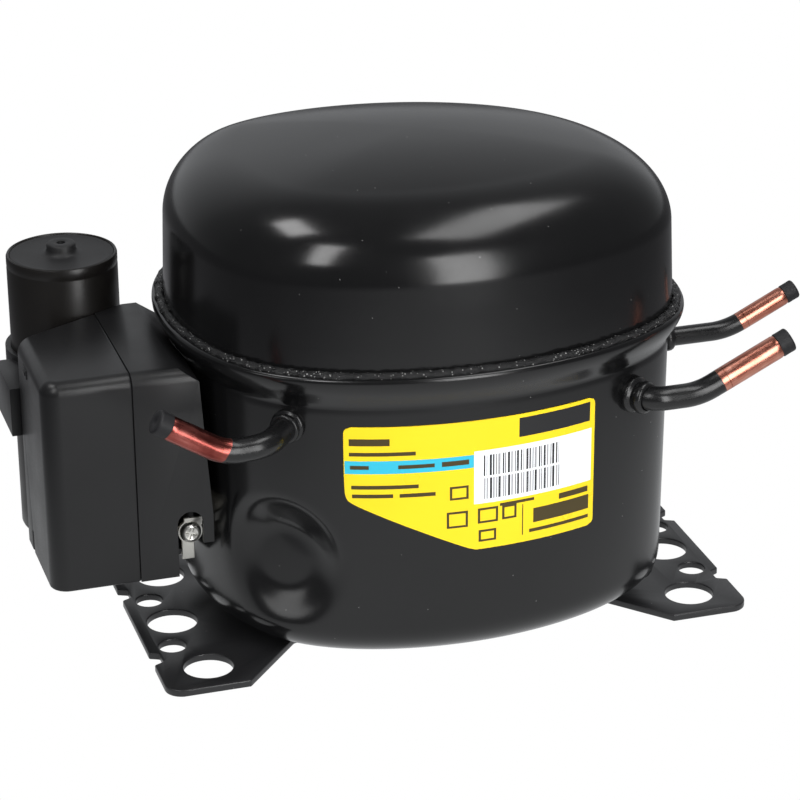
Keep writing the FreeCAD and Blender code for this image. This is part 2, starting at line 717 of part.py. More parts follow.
DECK_LOW = 98.0
DECK_HIGH = 108.0
WEB_LOW = 112.0
WEB_HIGH = 118.6
BLOCK_NEAR = 24.0
BLOCK_LOW = 108.0
BLOCK_HIGH = 147.0
BLOCK_HALF = 17.0


def build_crankcase():
    deck = prism(octagon(44, 12), DECK_LOW, DECK_HIGH)
    block = Part.makeBox(dim("head_face") - BLOCK_NEAR, 2 * BLOCK_HALF, BLOCK_HIGH - DECK_HIGH + 4,
                         V(BLOCK_NEAR, -BLOCK_HALF, DECK_HIGH - 4))
    foot = Part.makeBox(dim("head_face") - 40, 2 * BLOCK_HALF, 10, V(40, -BLOCK_HALF, DECK_LOW))
    casting = deck.fuse([block, foot, Part.makeCylinder(15, WEB_LOW - 0.1 - 86, V(0, 0, 86))])
    stack_top = dim("stator_floor") + dim("stack")
    for x, y in corners(dim("bolt_half")):
        leg = Part.makeCylinder(5.0, DECK_LOW + 2 - stack_top, V(x, y, stack_top))
        casting = casting.fuse(leg)
        casting = casting.cut(Part.makeCylinder(2.55, 40, V(x, y, stack_top - 1)))
    casting = casting.cut(Part.makeCylinder(dim("journal_radius") + 0.03, 60, V(0, 0, 70)))
    height = dim("cylinder_height")
    casting = casting.cut(Part.makeCylinder(dim("cylinder_radius"), 60, V(0, 0, height), V(1, 0, 0)))
    for y, z in head_screw_places():
        casting = casting.cut(Part.makeCylinder(2.05, 40, V(36, y, z), V(1, 0, 0)))
    in_pump(feature("Crankcase", casting.removeSplitter()), "crankcase")


def head_screw_places():
    return [(sy * 13.6, dim("cylinder_height") + sz * 12.6) for sy in (-1, 1) for sz in (-1, 1)]


GASKET = 0.7
PLATE = 3.0
HEAD = 11.0


def yz_plate(low_x, thick, holes):
    """A rectangular plate across the cylinder axis with round holes along X."""
    height = dim("cylinder_height")
    body = Part.makeBox(thick, 2 * BLOCK_HALF, 32, V(low_x, -BLOCK_HALF, height - 16))
    for y, z, radius in holes:
        body = body.cut(Part.makeCylinder(radius, thick + 2, V(low_x - 1, y, z), V(1, 0, 0)))
    return body


SUCTION_PORT = (-4.5, 3.0)
DISCHARGE_PORT = (4.5, -3.0)


def build_valves():
    face = dim("head_face")
    height = dim("cylinder_height")
    screws = [(y, z, 2.05) for y, z in head_screw_places()]
    gasket = yz_plate(face, GASKET, screws + [(0, height, dim("cylinder_radius") + 0.6)])
    in_pump(feature("ValveGasket", gasket), "valve_gasket")
    ports = [(SUCTION_PORT[0], height + SUCTION_PORT[1], 2.2),
             (DISCHARGE_PORT[0], height + DISCHARGE_PORT[1], 1.8)]
    in_pump(feature("ValvePlate", yz_plate(face + GASKET, PLATE, screws + ports)), "valve_plate")
    for label, x, port, size in (("suction_reed", face + GASKET - 0.25, SUCTION_PORT, 3.0),
                                 ("discharge_reed", face + GASKET + PLATE, DISCHARGE_PORT, 2.6)):
        y, z = port[0], height + port[1]
        leaf = Part.makeCylinder(size, 0.25, V(x, y, z), V(1, 0, 0))
        arm = Part.makeBox(0.25, 2.6, 6.4, V(x, y - 1.3, z - 6.4))
        in_pump(feature(label + "_shape", leaf.fuse(arm).removeSplitter()), label)
    stop_x = face + GASKET + PLATE + 1.4
    y, z = DISCHARGE_PORT[0], height + DISCHARGE_PORT[1]
    stop = Part.makeBox(1.0, 4.0, 12, V(stop_x, y - 2, z - 8.4))
    stop = stop.fuse(Part.makeBox(1.4, 4.0, 1.6, V(stop_x - 1.4, y - 2, z - 8.4)))
    in_pump(feature("ReedStop", stop), "discharge_reed_stop")
    head_low = face + GASKET + PLATE
    head = yz_plate(head_low, HEAD, screws)
    chamber_low = V(head_low - 1, 0.8, height - 12.5)
    head = head.cut(Part.makeBox(8.0, 9.6, 25, chamber_low))
    head = head.cut(Part.makeBox(8.0, 9.6, 25, V(chamber_low.x, -10.4, chamber_low.z)))
    in_pump(feature("CylinderHead", head), "cylinder_head")
    bolts = []
    for y, z in head_screw_places():
        shank = Part.makeCylinder(2.0, 30, V(head_low + HEAD - 29, y, z), V(1, 0, 0))
        cap = Part.makeCylinder(3.3, 3.0, V(head_low + HEAD, y, z), V(1, 0, 0))
        bolts.append(shank.fuse(cap))
    in_pump(feature("HeadScrews", Part.makeCompound(bolts)), "head_screws")


SPRING_TURNS = 5.0


def build_pump_fittings():
    low = dim("stator_floor")
    bolts = []
    cups = []
    posts = []
    springs = []
    coil_low = dim("shell_floor") + dim("sheet_thick") + 1.6
    coil_high = 24.4
    pitch = (coil_high - coil_low - 2 * dim("spring_wire")) / SPRING_TURNS
    for x, y in corners(dim("bolt_half")):
        shank = Part.makeCylinder(2.5, 60, V(x, y, low))
        bolts.append(shank.fuse(Part.makeCylinder(4.5, 4.5, V(x, y, low - 4.5))))
        cup = Part.makeCylinder(6.4, 8.9, V(x, y, 24.5))
        cup = cup.cut(Part.makeCylinder(4.55, 6, V(x, y, low - 4.5)))
        cups.append(cup.fuse(Part.makeCylinder(3.6, 6.5, V(x, y, 18.2))))
        post = Part.makeCylinder(6.4, 1.5, V(x, y, dim("shell_floor") + dim("sheet_thick")))
        posts.append(post.fuse(Part.makeCylinder(3.6, 8.0, V(x, y, coil_low - 1.6))))
        helix = Part.makeHelix(pitch, pitch * SPRING_TURNS, dim("spring_radius"))
        along = V(0, 2 * math.pi * dim("spring_radius"), pitch).normalize()
        wire = Part.Wire([Part.makeCircle(dim("spring_wire"), V(dim("spring_radius"), 0, 0), along)])
        spring = Part.Wire(helix.Edges).makePipeShell([wire], True, True)
        spring.translate(V(x, y, coil_low + dim("spring_wire")))
        springs.append(spring)
    in_pump(feature("StatorScrews", Part.makeCompound(bolts)), "stator_screws")
    in_pump(feature("UpperSpringSeats", Part.makeCompound(cups)), "upper_spring_seats")
    room = plan_solid(lower_profile(dim("sheet_thick") + 0.05))
    room.Placement = pump_frame().inverse()
    seats = Part.makeCompound([post.common(room) for post in posts])
    in_pump(feature("LowerSpringSeats", seats), "lower_spring_seats")
    in_pump(feature("SupportSprings", Part.makeCompound(springs)), "support_springs")
    muffler = rounded(Part.makeBox(30, 20, 28, V(27, BLOCK_HALF, 113)), 4.0,
                      lambda edge: abs(edge.CenterOfMass.y - BLOCK_HALF - 10) < 0.1)
    in_pump(feature("SuctionMuffler", muffler), "suction_muffler")
    dome = Part.makeCylinder(9.5, 22, V(34, -29, DECK_HIGH))
    dome = rounded(dome, 4.0, lambda edge: edge.CenterOfMass.z > DECK_HIGH + 20)
    dome = dome.cut(Part.makeCylinder(2.05, 12, V(38, -29, 118), V(1, 0, 0)))
    in_pump(feature("DischargeMuffler", dome), "discharge_muffler")
    inner_end = stub_points(STUBS["discharge"])[0]
    local = pump_frame().inverse().multVec(inner_end)
    route = [V(39, -29, 118), V(66, -29, 118), V(70, -10, 100), V(69, 8, 86),
             V(local.x - 1.0, local.y - 0.3, local.z)]
    line = tube_along(route, [5.0, 9.0, 9.0], 2.0, 1.2)
    in_pump(feature("DischargeLine", line), "discharge_line")


def build_crank():
    throw = dim("throw")
    angle = math.radians(dim("rest_crank"))
    pin = V(throw * math.cos(angle), throw * math.sin(angle), 0)
    shaft = Part.makeCylinder(dim("journal_radius"), WEB_LOW + 2 - 22, V(0, 0, 22))
    web = Part.makeCylinder(15.0, WEB_HIGH - WEB_LOW, V(0, 0, WEB_LOW))
    crankpin = Part.makeCylinder(dim("crankpin_radius"), 20.0, V(pin.x, pin.y, WEB_HIGH - 1))
    shaft = shaft.fuse([web, crankpin]).removeSplitter()
    plug_at = pin * 0.5 + V(0, 0, WEB_HIGH + 19 - 0.9)
    shaft = shaft.cut(Part.makeCylinder(1.45, 2, plug_at))
    shaft = shaft.cut(Part.makeCylinder(1.6, 40, V(0, 0, 22)))
    in_pump(feature("Crankshaft", shaft), "crankshaft")
    in_pump(feature("OilPlug", Part.makeCylinder(1.4, 0.8, plug_at + V(0, 0, 0.05))),
            "oil_gallery_plug")
    low = dim("stator_floor")
    core = Part.makeCylinder(dim("rotor_radius"), dim("stack"), V(0, 0, low))
    core = core.cut(Part.makeCylinder(dim("journal_radius") + 0.02, 100, V(0, 0, 0)))
    in_pump(feature("RotorCore", core), "rotor_core")
    rings = []
    for start in (low - 5, low + dim("stack")):
        ring = Part.makeCylinder(28.5, 5, V(0, 0, start))
        rings.append(ring.cut(Part.makeCylinder(17, 5, V(0, 0, start))))
    in_pump(feature("RotorRings", Part.makeCompound(rings)), "rotor_end_rings")
    weight = Part.makeCylinder(22.0, 6.0, V(0, 0, WEB_LOW + 0.3))
    weight = weight.cut(Part.makeCylinder(15.02, 8, V(0, 0, WEB_LOW)))
    keep = Part.makeBox(60, 60, 20, V(-30, 3, WEB_LOW - 5))
    keep.rotate(V(0, 0, 0), V(0, 0, 1), dim("rest_crank") + 90)
    in_pump(feature("Counterweight", weight.common(keep)), "counterweight")
    pickup = Part.makeCone(3.2, 6.0, 9.0, V(0, 0, 12.5)).fuse(
        Part.makeCylinder(9.4, 8.0, V(0, 0, 21.5)))
    pickup = pickup.cut(Part.makeCylinder(dim("journal_radius") + 0.02, 10, V(0, 0, 22)))
    pickup = pickup.cut(Part.makeCylinder(1.6, 30, V(0, 0, 5)))
    in_pump(feature("OilPickup", pickup), "oil_pickup")


def build_piston():
    throw = dim("throw")
    angle = math.radians(dim("rest_crank"))
    pin = V(throw * math.cos(angle), throw * math.sin(angle), 0)
    height = dim("cylinder_height")
    block = Part.makeCylinder(dim("slider_radius"), 20, V(pin.x, pin.y - 10, height), V(0, 1, 0))
    block = block.cut(Part.makeCylinder(dim("crankpin_radius") + 0.03, 60, V(pin.x, pin.y, 100)))
    in_pump(feature("SlideBlock", block), "slide_block")
    centre = pin.x
    tube = Part.makeCylinder(dim("yoke_radius"), 39, V(centre, -19.5, height), V(0, 1, 0))
    crown = centre + 44.3
    head = Part.makeCylinder(dim("piston_radius"), 22, V(crown - 22, 0, height), V(1, 0, 0))
    stalk = Part.makeCylinder(7.0, 20, V(centre + 6, 0, height), V(1, 0, 0))
    yoke = tube.fuse([head, stalk])
    yoke = yoke.cut(Part.makeCylinder(dim("yoke_bore"), 60, V(centre, -30, height), V(0, 1, 0)))
    slot_half = dim("crankpin_radius") + 0.35
    slot = Part.makeBox(2 * slot_half, 2 * (throw + slot_half), 14,
                        V(centre - slot_half, -throw - slot_half, height - 14))
    for side in (-1, 1):
        slot = slot.fuse(Part.makeCylinder(0.1, 1, V(centre, side * throw, height - 13)))
    yoke = yoke.cut(slot)
    for offset in (5.0, 8.0):
        ring = Part.makeCylinder(11, 0.8, V(crown - offset, 0, height), V(1, 0, 0))
        ring = ring.cut(Part.makeCylinder(10.1, 0.8, V(crown - offset, 0, height), V(1, 0, 0)))
        yoke = yoke.cut(ring)
    in_pump(feature("Piston", yoke.removeSplitter()), "piston")


# ---------------------------------------------------------------- build and write
build_shell()
build_feet()
build_foot_welds()
build_connectors()
build_label()
build_terminal()
build_earth_point()
build_box()
build_box_contents()
build_capacitor()
build_stator()
build_crankcase()
build_valves()
build_pump_fittings()
build_crank()
build_piston()
doc.recompute()

for obj in doc.Objects:
    if "Invalid" in obj.State or "Error" in obj.State:
        raise RuntimeError(f"{obj.Name} ({obj.Label}) failed: {obj.State}")
os.makedirs("parts", exist_ok=True)
for piece in NODES:
    shape = piece.Shape
    if shape.isNull() or not shape.isValid():
        raise RuntimeError(f"{piece.Label} has no valid shape")
    shape.exportStep(f"parts/{piece.Label}.step")
    low = shape.BoundBox
    print(f"{piece.Label:24s} solids {len(shape.Solids):2d} volume {shape.Volume:10.1f} "
          f"x {low.XMin:7.1f} {low.XMax:7.1f} y {low.YMin:7.1f} {low.YMax:7.1f} "
          f"z {low.ZMin:6.1f} {low.ZMax:6.1f}")
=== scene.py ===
"""Looks of the hermetic compressor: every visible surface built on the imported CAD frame."""
import bmesh
import bpy
import json
import math
from mathutils import Matrix, Vector, noise

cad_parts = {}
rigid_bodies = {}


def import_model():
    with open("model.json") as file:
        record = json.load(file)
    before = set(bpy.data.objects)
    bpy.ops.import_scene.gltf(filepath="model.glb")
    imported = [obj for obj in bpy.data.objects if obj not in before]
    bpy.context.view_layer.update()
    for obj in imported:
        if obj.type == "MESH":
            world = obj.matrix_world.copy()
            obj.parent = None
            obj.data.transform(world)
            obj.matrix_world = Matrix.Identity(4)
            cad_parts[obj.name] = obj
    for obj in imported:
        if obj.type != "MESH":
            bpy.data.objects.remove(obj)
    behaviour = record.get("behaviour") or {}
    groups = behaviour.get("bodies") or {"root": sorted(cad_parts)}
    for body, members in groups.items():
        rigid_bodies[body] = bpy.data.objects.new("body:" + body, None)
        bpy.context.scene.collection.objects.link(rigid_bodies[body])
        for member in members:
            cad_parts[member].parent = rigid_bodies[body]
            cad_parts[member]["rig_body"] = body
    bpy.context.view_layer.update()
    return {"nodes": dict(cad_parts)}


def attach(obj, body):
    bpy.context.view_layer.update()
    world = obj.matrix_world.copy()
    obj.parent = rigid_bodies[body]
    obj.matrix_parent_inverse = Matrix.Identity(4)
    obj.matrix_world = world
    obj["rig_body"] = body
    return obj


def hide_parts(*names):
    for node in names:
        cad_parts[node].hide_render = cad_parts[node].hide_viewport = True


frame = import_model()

MM = 0.001
Y = Vector((0, 1, 0))
Z = Vector((0, 0, 1))


# ---------------------------------------------------------------- node graphs
def set_stops(ramp, stops):
    """Give a colour ramp its (position, colour) stops."""
    while len(ramp.elements) < len(stops):
        ramp.elements.new(0.5)
    for element, (where, colour) in zip(ramp.elements, stops):
        element.position = where
        element.color = (*colour, 1.0)


class Graph:
    """A small helper that builds one procedural material."""

    def __init__(self, name):
        self.material = bpy.data.materials.new(name)
        self.material.use_nodes = True
        self.tree = self.material.node_tree
        self.tree.nodes.clear()
        self.shader = self.tree.nodes.new("ShaderNodeBsdfPrincipled")
        self.out = self.tree.nodes.new("ShaderNodeOutputMaterial")
        self.tree.links.new(self.shader.outputs[0], self.out.inputs[0])
        self.place = self.tree.nodes.new("ShaderNodeTexCoord").outputs["Object"]

    def put(self, socket, value):
        if isinstance(value, bpy.types.NodeSocket):
            self.tree.links.new(value, socket)
        else:
            socket.default_value = value

    def node(self, kind, **inputs):
        made = self.tree.nodes.new(kind)
        for key, value in inputs.items():
            self.put(made.inputs[key.replace("_", " ")], value)
        return made

    def surface(self, **values):
        for key, value in values.items():
            self.put(self.shader.inputs[key.replace("_", " ")], value)
        return self.material

    def maths(self, operation, first, second=0.0, third=0.0, clamp=False):
        made = self.tree.nodes.new("ShaderNodeMath")
        made.operation = operation
        made.use_clamp = clamp
        for socket, value in zip(made.inputs, (first, second, third)):
            self.put(socket, value)
        return made.outputs[0]

    def scaled(self, sx, sy, sz, turn=0.0):
        made = self.tree.nodes.new("ShaderNodeMapping")
        self.put(made.inputs["Vector"], self.place)
        made.inputs["Scale"].default_value = (sx, sy, sz)
        made.inputs["Rotation"].default_value = (0, 0, turn)
        return made.outputs[0]

    def noise(self, size_mm, detail=4.0, rough=0.55, vector=None):
        made = self.node("ShaderNodeTexNoise", Scale=1.0 / (size_mm * MM), Detail=detail,
                         Roughness=rough)
        self.put(made.inputs["Vector"], vector or self.place)
        return made.outputs["Fac"]

    def specks(self, cell_mm, radius):
        """1 inside small scattered dots, 0 elsewhere."""
        made = self.node("ShaderNodeTexVoronoi", Scale=1.0 / (cell_mm * MM), Randomness=1.0)
        self.put(made.inputs["Vector"], self.place)
        near = self.maths("LESS_THAN", made.outputs["Distance"], radius)
        channel = self.node("ShaderNodeSeparateColor", Color=made.outputs["Color"])
        chosen = self.maths("GREATER_THAN", channel.outputs[0], 0.62)
        return self.maths("MULTIPLY", near, chosen)

    def ramp(self, value, stops):
        made = self.tree.nodes.new("ShaderNodeValToRGB")
        self.put(made.inputs[0], value)
        set_stops(made.color_ramp, stops)
        return made.outputs[0]

    def span(self, value, low, high, to_low, to_high):
        made = self.node("ShaderNodeMapRange", Value=value)
        for key, number in (("From Min", low), ("From Max", high), ("To Min", to_low),
                            ("To Max", to_high)):
            made.inputs[key].default_value = number
        return made.outputs[0]

    def mix(self, factor, first, second):
        made = self.tree.nodes.new("ShaderNodeMix")
        made.data_type = "RGBA"
        self.put(made.inputs[0], factor)
        for socket, value in ((made.inputs[6], first), (made.inputs[7], second)):
            if isinstance(value, tuple) and len(value) == 3:
                value = (*value, 1.0)
            self.put(socket, value)
        return made.outputs[2]

    def bump(self, height, depth_mm, strength=1.0, onto=None):
        made = self.node("ShaderNodeBump", Height=height, Strength=strength,
                         Distance=depth_mm * MM)
        if onto:
            self.put(made.inputs["Normal"], onto)
        return made.outputs[0]


def paint(name, tint=(0.0036, 0.0036, 0.0038), rough=(0.14, 0.24), peel=0.008, dust_and_glints=0.5, grit=0.0,
          cell=4.2, dot=0.045):
    """Black enamel: orange peel, drifts of gloss, and light grey specks that are a little dust and,
    dense on the weld bead, painted glints.
    """
    g = Graph(name)
    drift = g.noise(34.0, 3.0)
    fine = g.noise(0.9, 3.0)
    dust_and_glint_dots = g.maths("MULTIPLY", g.specks(cell, dot), dust_and_glints)
    colour = g.mix(drift, tuple(c * 0.75 for c in tint), tuple(c * 1.5 for c in tint))
    # light grey specks: sparse ones are real dust; dense ones on the weld bead are painted glints
    colour = g.mix(dust_and_glint_dots, colour, (0.2, 0.2, 0.195))
    low, high = rough
    gloss = g.span(g.maths("ADD", g.maths("MULTIPLY", drift, 0.7), g.maths("MULTIPLY", fine, 0.3)),
                   0.3, 0.7, low, high)
    normal = g.bump(g.noise(2.6, 2.0), peel)
    if grit:
        normal = g.bump(g.noise(0.55, 4.0, 0.7), grit, 1.0, normal)
    return g.surface(Base_Color=colour, Roughness=gloss, Normal=normal, IOR=1.5)


def plastic(name, tint, rough=0.42, grain=0.02, grain_mm=0.35, cloud=0.25, ior=1.46):
    """Moulded plastic with a fine spark-eroded grain and faint clouding."""
    g = Graph(name)
    cloudy = g.noise(22.0, 4.0)
    fine = g.noise(grain_mm, 2.0)
    colour = g.mix(cloudy, tuple(c * (1 - cloud) for c in tint),
                   tuple(c * (1 + cloud) for c in tint))
    gloss = g.span(g.maths("ADD", g.maths("MULTIPLY", cloudy, 0.6), g.maths("MULTIPLY", fine, 0.4)),
                   0.3, 0.7, rough - 0.06, rough + 0.08)
    return g.surface(Base_Color=colour, Roughness=gloss, Normal=g.bump(fine, grain), IOR=ior)


def metal(name, tint, rough=0.3, streak=None, mottling=0.2, size=3.0, grain=0.01):
    """Bare metal with drawn or turned marks; streak stretches the marks along an axis."""
    g = Graph(name)
    vector = g.scaled(*streak) if streak else g.place
    marks = g.noise(size * 0.2, 5.0, 0.65, vector)
    cloudy = g.noise(size * 3.0, 4.0)
    both = g.maths("ADD", g.maths("MULTIPLY", marks, 0.5), g.maths("MULTIPLY", cloudy, 0.5))
    colour = g.mix(both, tuple(c * (1 - mottling) for c in tint),
                   tuple(min(1.0, c * (1 + mottling)) for c in tint))
    gloss = g.span(both, 0.3, 0.7, rough - 0.08, rough + 0.12)
    return g.surface(Base_Color=colour, Roughness=gloss, Metallic=1.0,
                     Normal=g.bump(marks, grain))


def casting(name, tint, rough=0.6):
    """Sand-cast iron: coarse grain, dark pits, faint oil sheen."""
    g = Graph(name)
    coarse = g.noise(1.6, 6.0, 0.7)
    cloudy = g.noise(14.0, 3.0)
    colour = g.mix(g.maths("MULTIPLY", coarse, cloudy), tuple(c * 0.6 for c in tint),
                   tuple(c * 1.6 for c in tint))
    return g.surface(Base_Color=colour, Metallic=0.6,
                     Roughness=g.span(cloudy, 0.3, 0.7, rough - 0.12, rough + 0.1),
                     Normal=g.bump(coarse, 0.12))


def laminations(name):
    """Stacked 0.5 mm electrical sheet: fine lines across the height."""
    g = Graph(name)
    wave = g.tree.nodes.new("ShaderNodeTexWave")
    wave.bands_direction = "Z"
    g.put(wave.inputs["Vector"], g.place)
    wave.inputs["Scale"].default_value = 314.0
    wave.inputs["Distortion"].default_value = 0.4
    cloudy = g.noise(9.0, 4.0)
    colour = g.mix(wave.outputs["Fac"], (0.16, 0.16, 0.17), (0.42, 0.42, 0.44))
    return g.surface(Base_Color=colour, Metallic=0.85, Roughness=g.span(cloudy, 0.3, 0.7, 0.4, 0.6),
                     Normal=g.bump(wave.outputs["Fac"], 0.12))


def winding(name, tint, pitch_mm=0.7):
    """Enamelled wire laid in turns, varnished."""
    g = Graph(name)
    wave = g.tree.nodes.new("ShaderNodeTexWave")
    wave.bands_direction = "DIAGONAL"
    g.put(wave.inputs["Vector"], g.place)
    wave.inputs["Scale"].default_value = 0.314 / (pitch_mm * MM)
    wave.inputs["Distortion"].default_value = 2.5
    wave.inputs["Detail"].default_value = 2.0
    colour = g.mix(wave.outputs["Fac"], tuple(c * 0.35 for c in tint), tint)
    gloss = g.span(g.noise(3.0), 0.3, 0.7, 0.22, 0.4)
    return g.surface(Base_Color=colour, Metallic=0.75, Roughness=gloss,
                     Normal=g.bump(wave.outputs["Fac"], 0.35))


# ---------------------------------------------------------------- mesh helpers
def finish_mesh(name, mesh, materials, body, stands_for=(), sharp=35.0):
    """Turn a mesh in millimetres into a piece that rides on a body."""
    for material in materials:
        mesh.materials.append(material)
    mesh.transform(Matrix.Scale(MM, 4))
    mesh.shade_smooth()
    mesh.set_sharp_from_angle(angle=math.radians(sharp))
    piece = bpy.data.objects.new(name, mesh)
    bpy.context.scene.collection.objects.link(piece)
    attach(piece, body)
    if stands_for:
        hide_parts(*stands_for)
    return piece


def sheet_mesh(name, rows, ring=True, cap=(False, False)):
    """Mesh through rows of points; ring closes each row, cap closes the first or last row."""
    width = len(rows[0])
    points = [tuple(p) for row in rows for p in row]
    faces = []
    for r in range(len(rows) - 1):
        for c in range(width if ring else width - 1):
            after = (c + 1) % width
            faces.append((r * width + c, r * width + after, (r + 1) * width + after,
                          (r + 1) * width + c))
    for wanted, row in zip(cap, (0, len(rows) - 1)):
        if wanted:
            middle = sum((Vector(p) for p in rows[row]), Vector()) / width
            points.append(tuple(middle))
            for c in range(width):
                pair = (row * width + (c + 1) % width, row * width + c)
                faces.append((len(points) - 1,) + (pair if row == 0 else pair[::-1]))
    mesh = bpy.data.meshes.new(name)
    mesh.from_pydata(points, [], faces)
    settle(mesh)
    return mesh


def settle(mesh, merge=1e-4):
    """Weld doubled points and point every face outwards."""
    work = bmesh.new()
    work.from_mesh(mesh)
    bmesh.ops.remove_doubles(work, verts=work.verts, dist=merge)
    bmesh.ops.recalc_face_normals(work, faces=work.faces)
    work.to_mesh(mesh)
    work.free()
    mesh.update()


def axis_frame(origin, axis):
    """Matrix with local Z along axis."""
    matrix = Vector(axis).normalized().to_track_quat("Z", "Y").to_matrix().to_4x4()
    matrix.translation = Vector(origin)
    return matrix


def lathe(name, profile, origin, axis=(0, 0, 1), segments=96, closed=False):
    """Surface of revolution through (radius, height) points."""
    matrix = axis_frame(origin, axis)
    rows = []
    for radius, height in (profile + profile[:1] if closed else profile):
        rows.append([matrix @ Vector((radius * math.cos(2 * math.pi * i / segments),
                                      radius * math.sin(2 * math.pi * i / segments), height))
                     for i in range(segments)])
    return sheet_mesh(name, rows)


def arc_points(centre, radius, start, end, steps):
    """Points on an arc in a profile plane, degrees."""
    return [(centre[0] + radius * math.cos(math.radians(start + (end - start) * i / steps)),
             centre[1] + radius * math.sin(math.radians(start + (end - start) * i / steps)))
            for i in range(steps + 1)]


def path_frames(points, radii, spacing=0.8):
    """Straight runs joined by tangent arcs, as (position, tangent) pairs."""
    points = [Vector(p) for p in points]
    out = []
    cursor = points[0]

    def straight(a, b):
        steps = max(1, int((b - a).length / spacing))
        for i in range(steps):
            out.append((a.lerp(b, i / steps), (b - a).normalized()))

    for before, corner, after, radius in zip(points, points[1:], points[2:], radii):
        back = (before - corner).normalized()
        ahead = (after - corner).normalized()
        half = back.angle(ahead) / 2
        length = radius / math.tan(half)
        centre = corner + (back + ahead).normalized() * radius / math.sin(half)
        first = corner + back * length
        last = corner + ahead * length
        straight(cursor, first)
        spoke = first - centre
        normal = spoke.cross(last - centre).normalized()
        sweep = spoke.angle(last - centre)
        steps = max(6, int(radius * sweep / spacing))
        for i in range(steps):
            turned = Matrix.Rotation(sweep * i / steps, 3, normal) @ spoke
            out.append((centre + turned, normal.cross(turned).normalized()))
        cursor = last
    straight(cursor, points[-1])
    out.append((points[-1], (points[-1] - points[-2]).normalized()))
    return out


END_CHAMFER = 0.25


def tube(name, frames, size_at, segments=48, inner=0.0):
    """Round tube; size_at gives the radius for a distance along the path and its total."""
    rows = []
    travelled = 0.0
    side = None
    previous = frames[0][0]
    stations = []
    for position, tangent in frames:
        travelled += (position - previous).length
        previous = position
        if side is None:
            side = tangent.orthogonal().normalized()
        side = (side - tangent * side.dot(tangent)).normalized()
        stations.append((position, side.copy(), tangent.cross(side), travelled))
    total = travelled

    def ring(position, first, second, radius):
        return [position + (first * math.cos(2 * math.pi * i / segments)
                            + second * math.sin(2 * math.pi * i / segments)) * radius
                for i in range(segments)]

    for position, first, second, travelled in stations:
        rows.append(ring(position, first, second, size_at(travelled, total)))
    if inner:
        position, first, second, _ = stations[-1]
        rows.append(ring(position, first, second, size_at(total, total) - END_CHAMFER))
        for position, first, second, _ in reversed(stations):
            rows.append(ring(position, first, second, inner))
    return sheet_mesh(name, rows)


def from_cad(node, name, materials, bevel=0.4, sharp=30.0, segments=3):
    """A copy of a CAD node with its flat faces joined up and its edges broken."""
    source = frame["nodes"][node]
    mesh = source.data.copy()
    mesh.materials.clear()
    mesh.transform(Matrix.Scale(1 / MM, 4))
    work = bmesh.new()
    work.from_mesh(mesh)
    bmesh.ops.remove_doubles(work, verts=work.verts, dist=0.004)
    bmesh.ops.dissolve_limit(work, angle_limit=math.radians(0.6), verts=work.verts,
                             edges=work.edges)
    work.to_mesh(mesh)
    work.free()
    keeper = bpy.data.objects.new(name + "_work", mesh)
    bpy.context.scene.collection.objects.link(keeper)
    if bevel:
        soft = keeper.modifiers.new("edges", "BEVEL")
        soft.width = bevel
        soft.segments = segments
        soft.limit_method = "ANGLE"
        soft.angle_limit = math.radians(sharp)
        soft.use_clamp_overlap = True
        soft.miter_outer = "MITER_ARC"
        soft.harden_normals = False
    graph = bpy.context.evaluated_depsgraph_get()
    made = bpy.data.meshes.new_from_object(keeper.evaluated_get(graph))
    bpy.data.objects.remove(keeper)
    made.name = name
    made.materials.clear()
    body = source["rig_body"]
    return finish_mesh(name, made, materials, body, (node,), sharp)


def dress(node, material):
    """Give a CAD node that already has the right shape a better finish."""
    shown = frame["nodes"][node]
    shown.data.materials.clear()
    shown.data.materials.append(material)


# ---------------------------------------------------------------- the shell's oval
PLAN_RADIUS = 78.45
PLAN_CENTRE = (-2.2, 4.2)
LOBES = ((2, 7.14, -18.0), (3, 2.05, -9.2), (4, -1.74, 0.0))
SHEET = 2.5
# the lower wall leans out: its inset from the oval at its foot, at its top, and over what height
WALL_FOOT_INSET = 2.28
WALL_TOP_INSET = 1.06
WALL_FOOT_Z = 19.57
WALL_RISE = 78.53


def plan_point(degrees, inset=0.0, z=0.0):
    """Point of the oval whose outward normal points along degrees, moved in by inset."""
    support = PLAN_RADIUS - inset
    slope = 0.0
    for order, size, turn in LOBES:
        angle = math.radians(order * (degrees - turn))
        support += size * math.cos(angle)
        slope -= order * size * math.sin(angle)
    c = math.cos(math.radians(degrees))
    s = math.sin(math.radians(degrees))
    return Vector((PLAN_CENTRE[0] + support * c - slope * s,
                   PLAN_CENTRE[1] + support * s + slope * c, z))


def facing(degrees):
    return Vector((math.cos(math.radians(degrees)), math.sin(math.radians(degrees)), 0))


def oval_rows(profile, steps=360):
    """Rows of points for (inset, z) or (inset, z, scale) stations."""
    centre = Vector((*PLAN_CENTRE, 0))
    rows = []
    for station in profile:
        inset, z = station[:2]
        scale = station[2] if len(station) > 2 else 1.0
        row = []
        for i in range(steps):
            point = plan_point(360.0 * i / steps, inset)
            point = centre + (point - centre) * scale
            point.z = z
            row.append(point)
        rows.append(row)
    return rows


def smooth_step(value, low, high):
    t = max(0.0, min(1.0, (value - low) / (high - low)))
    return t * t * (3 - 2 * t)


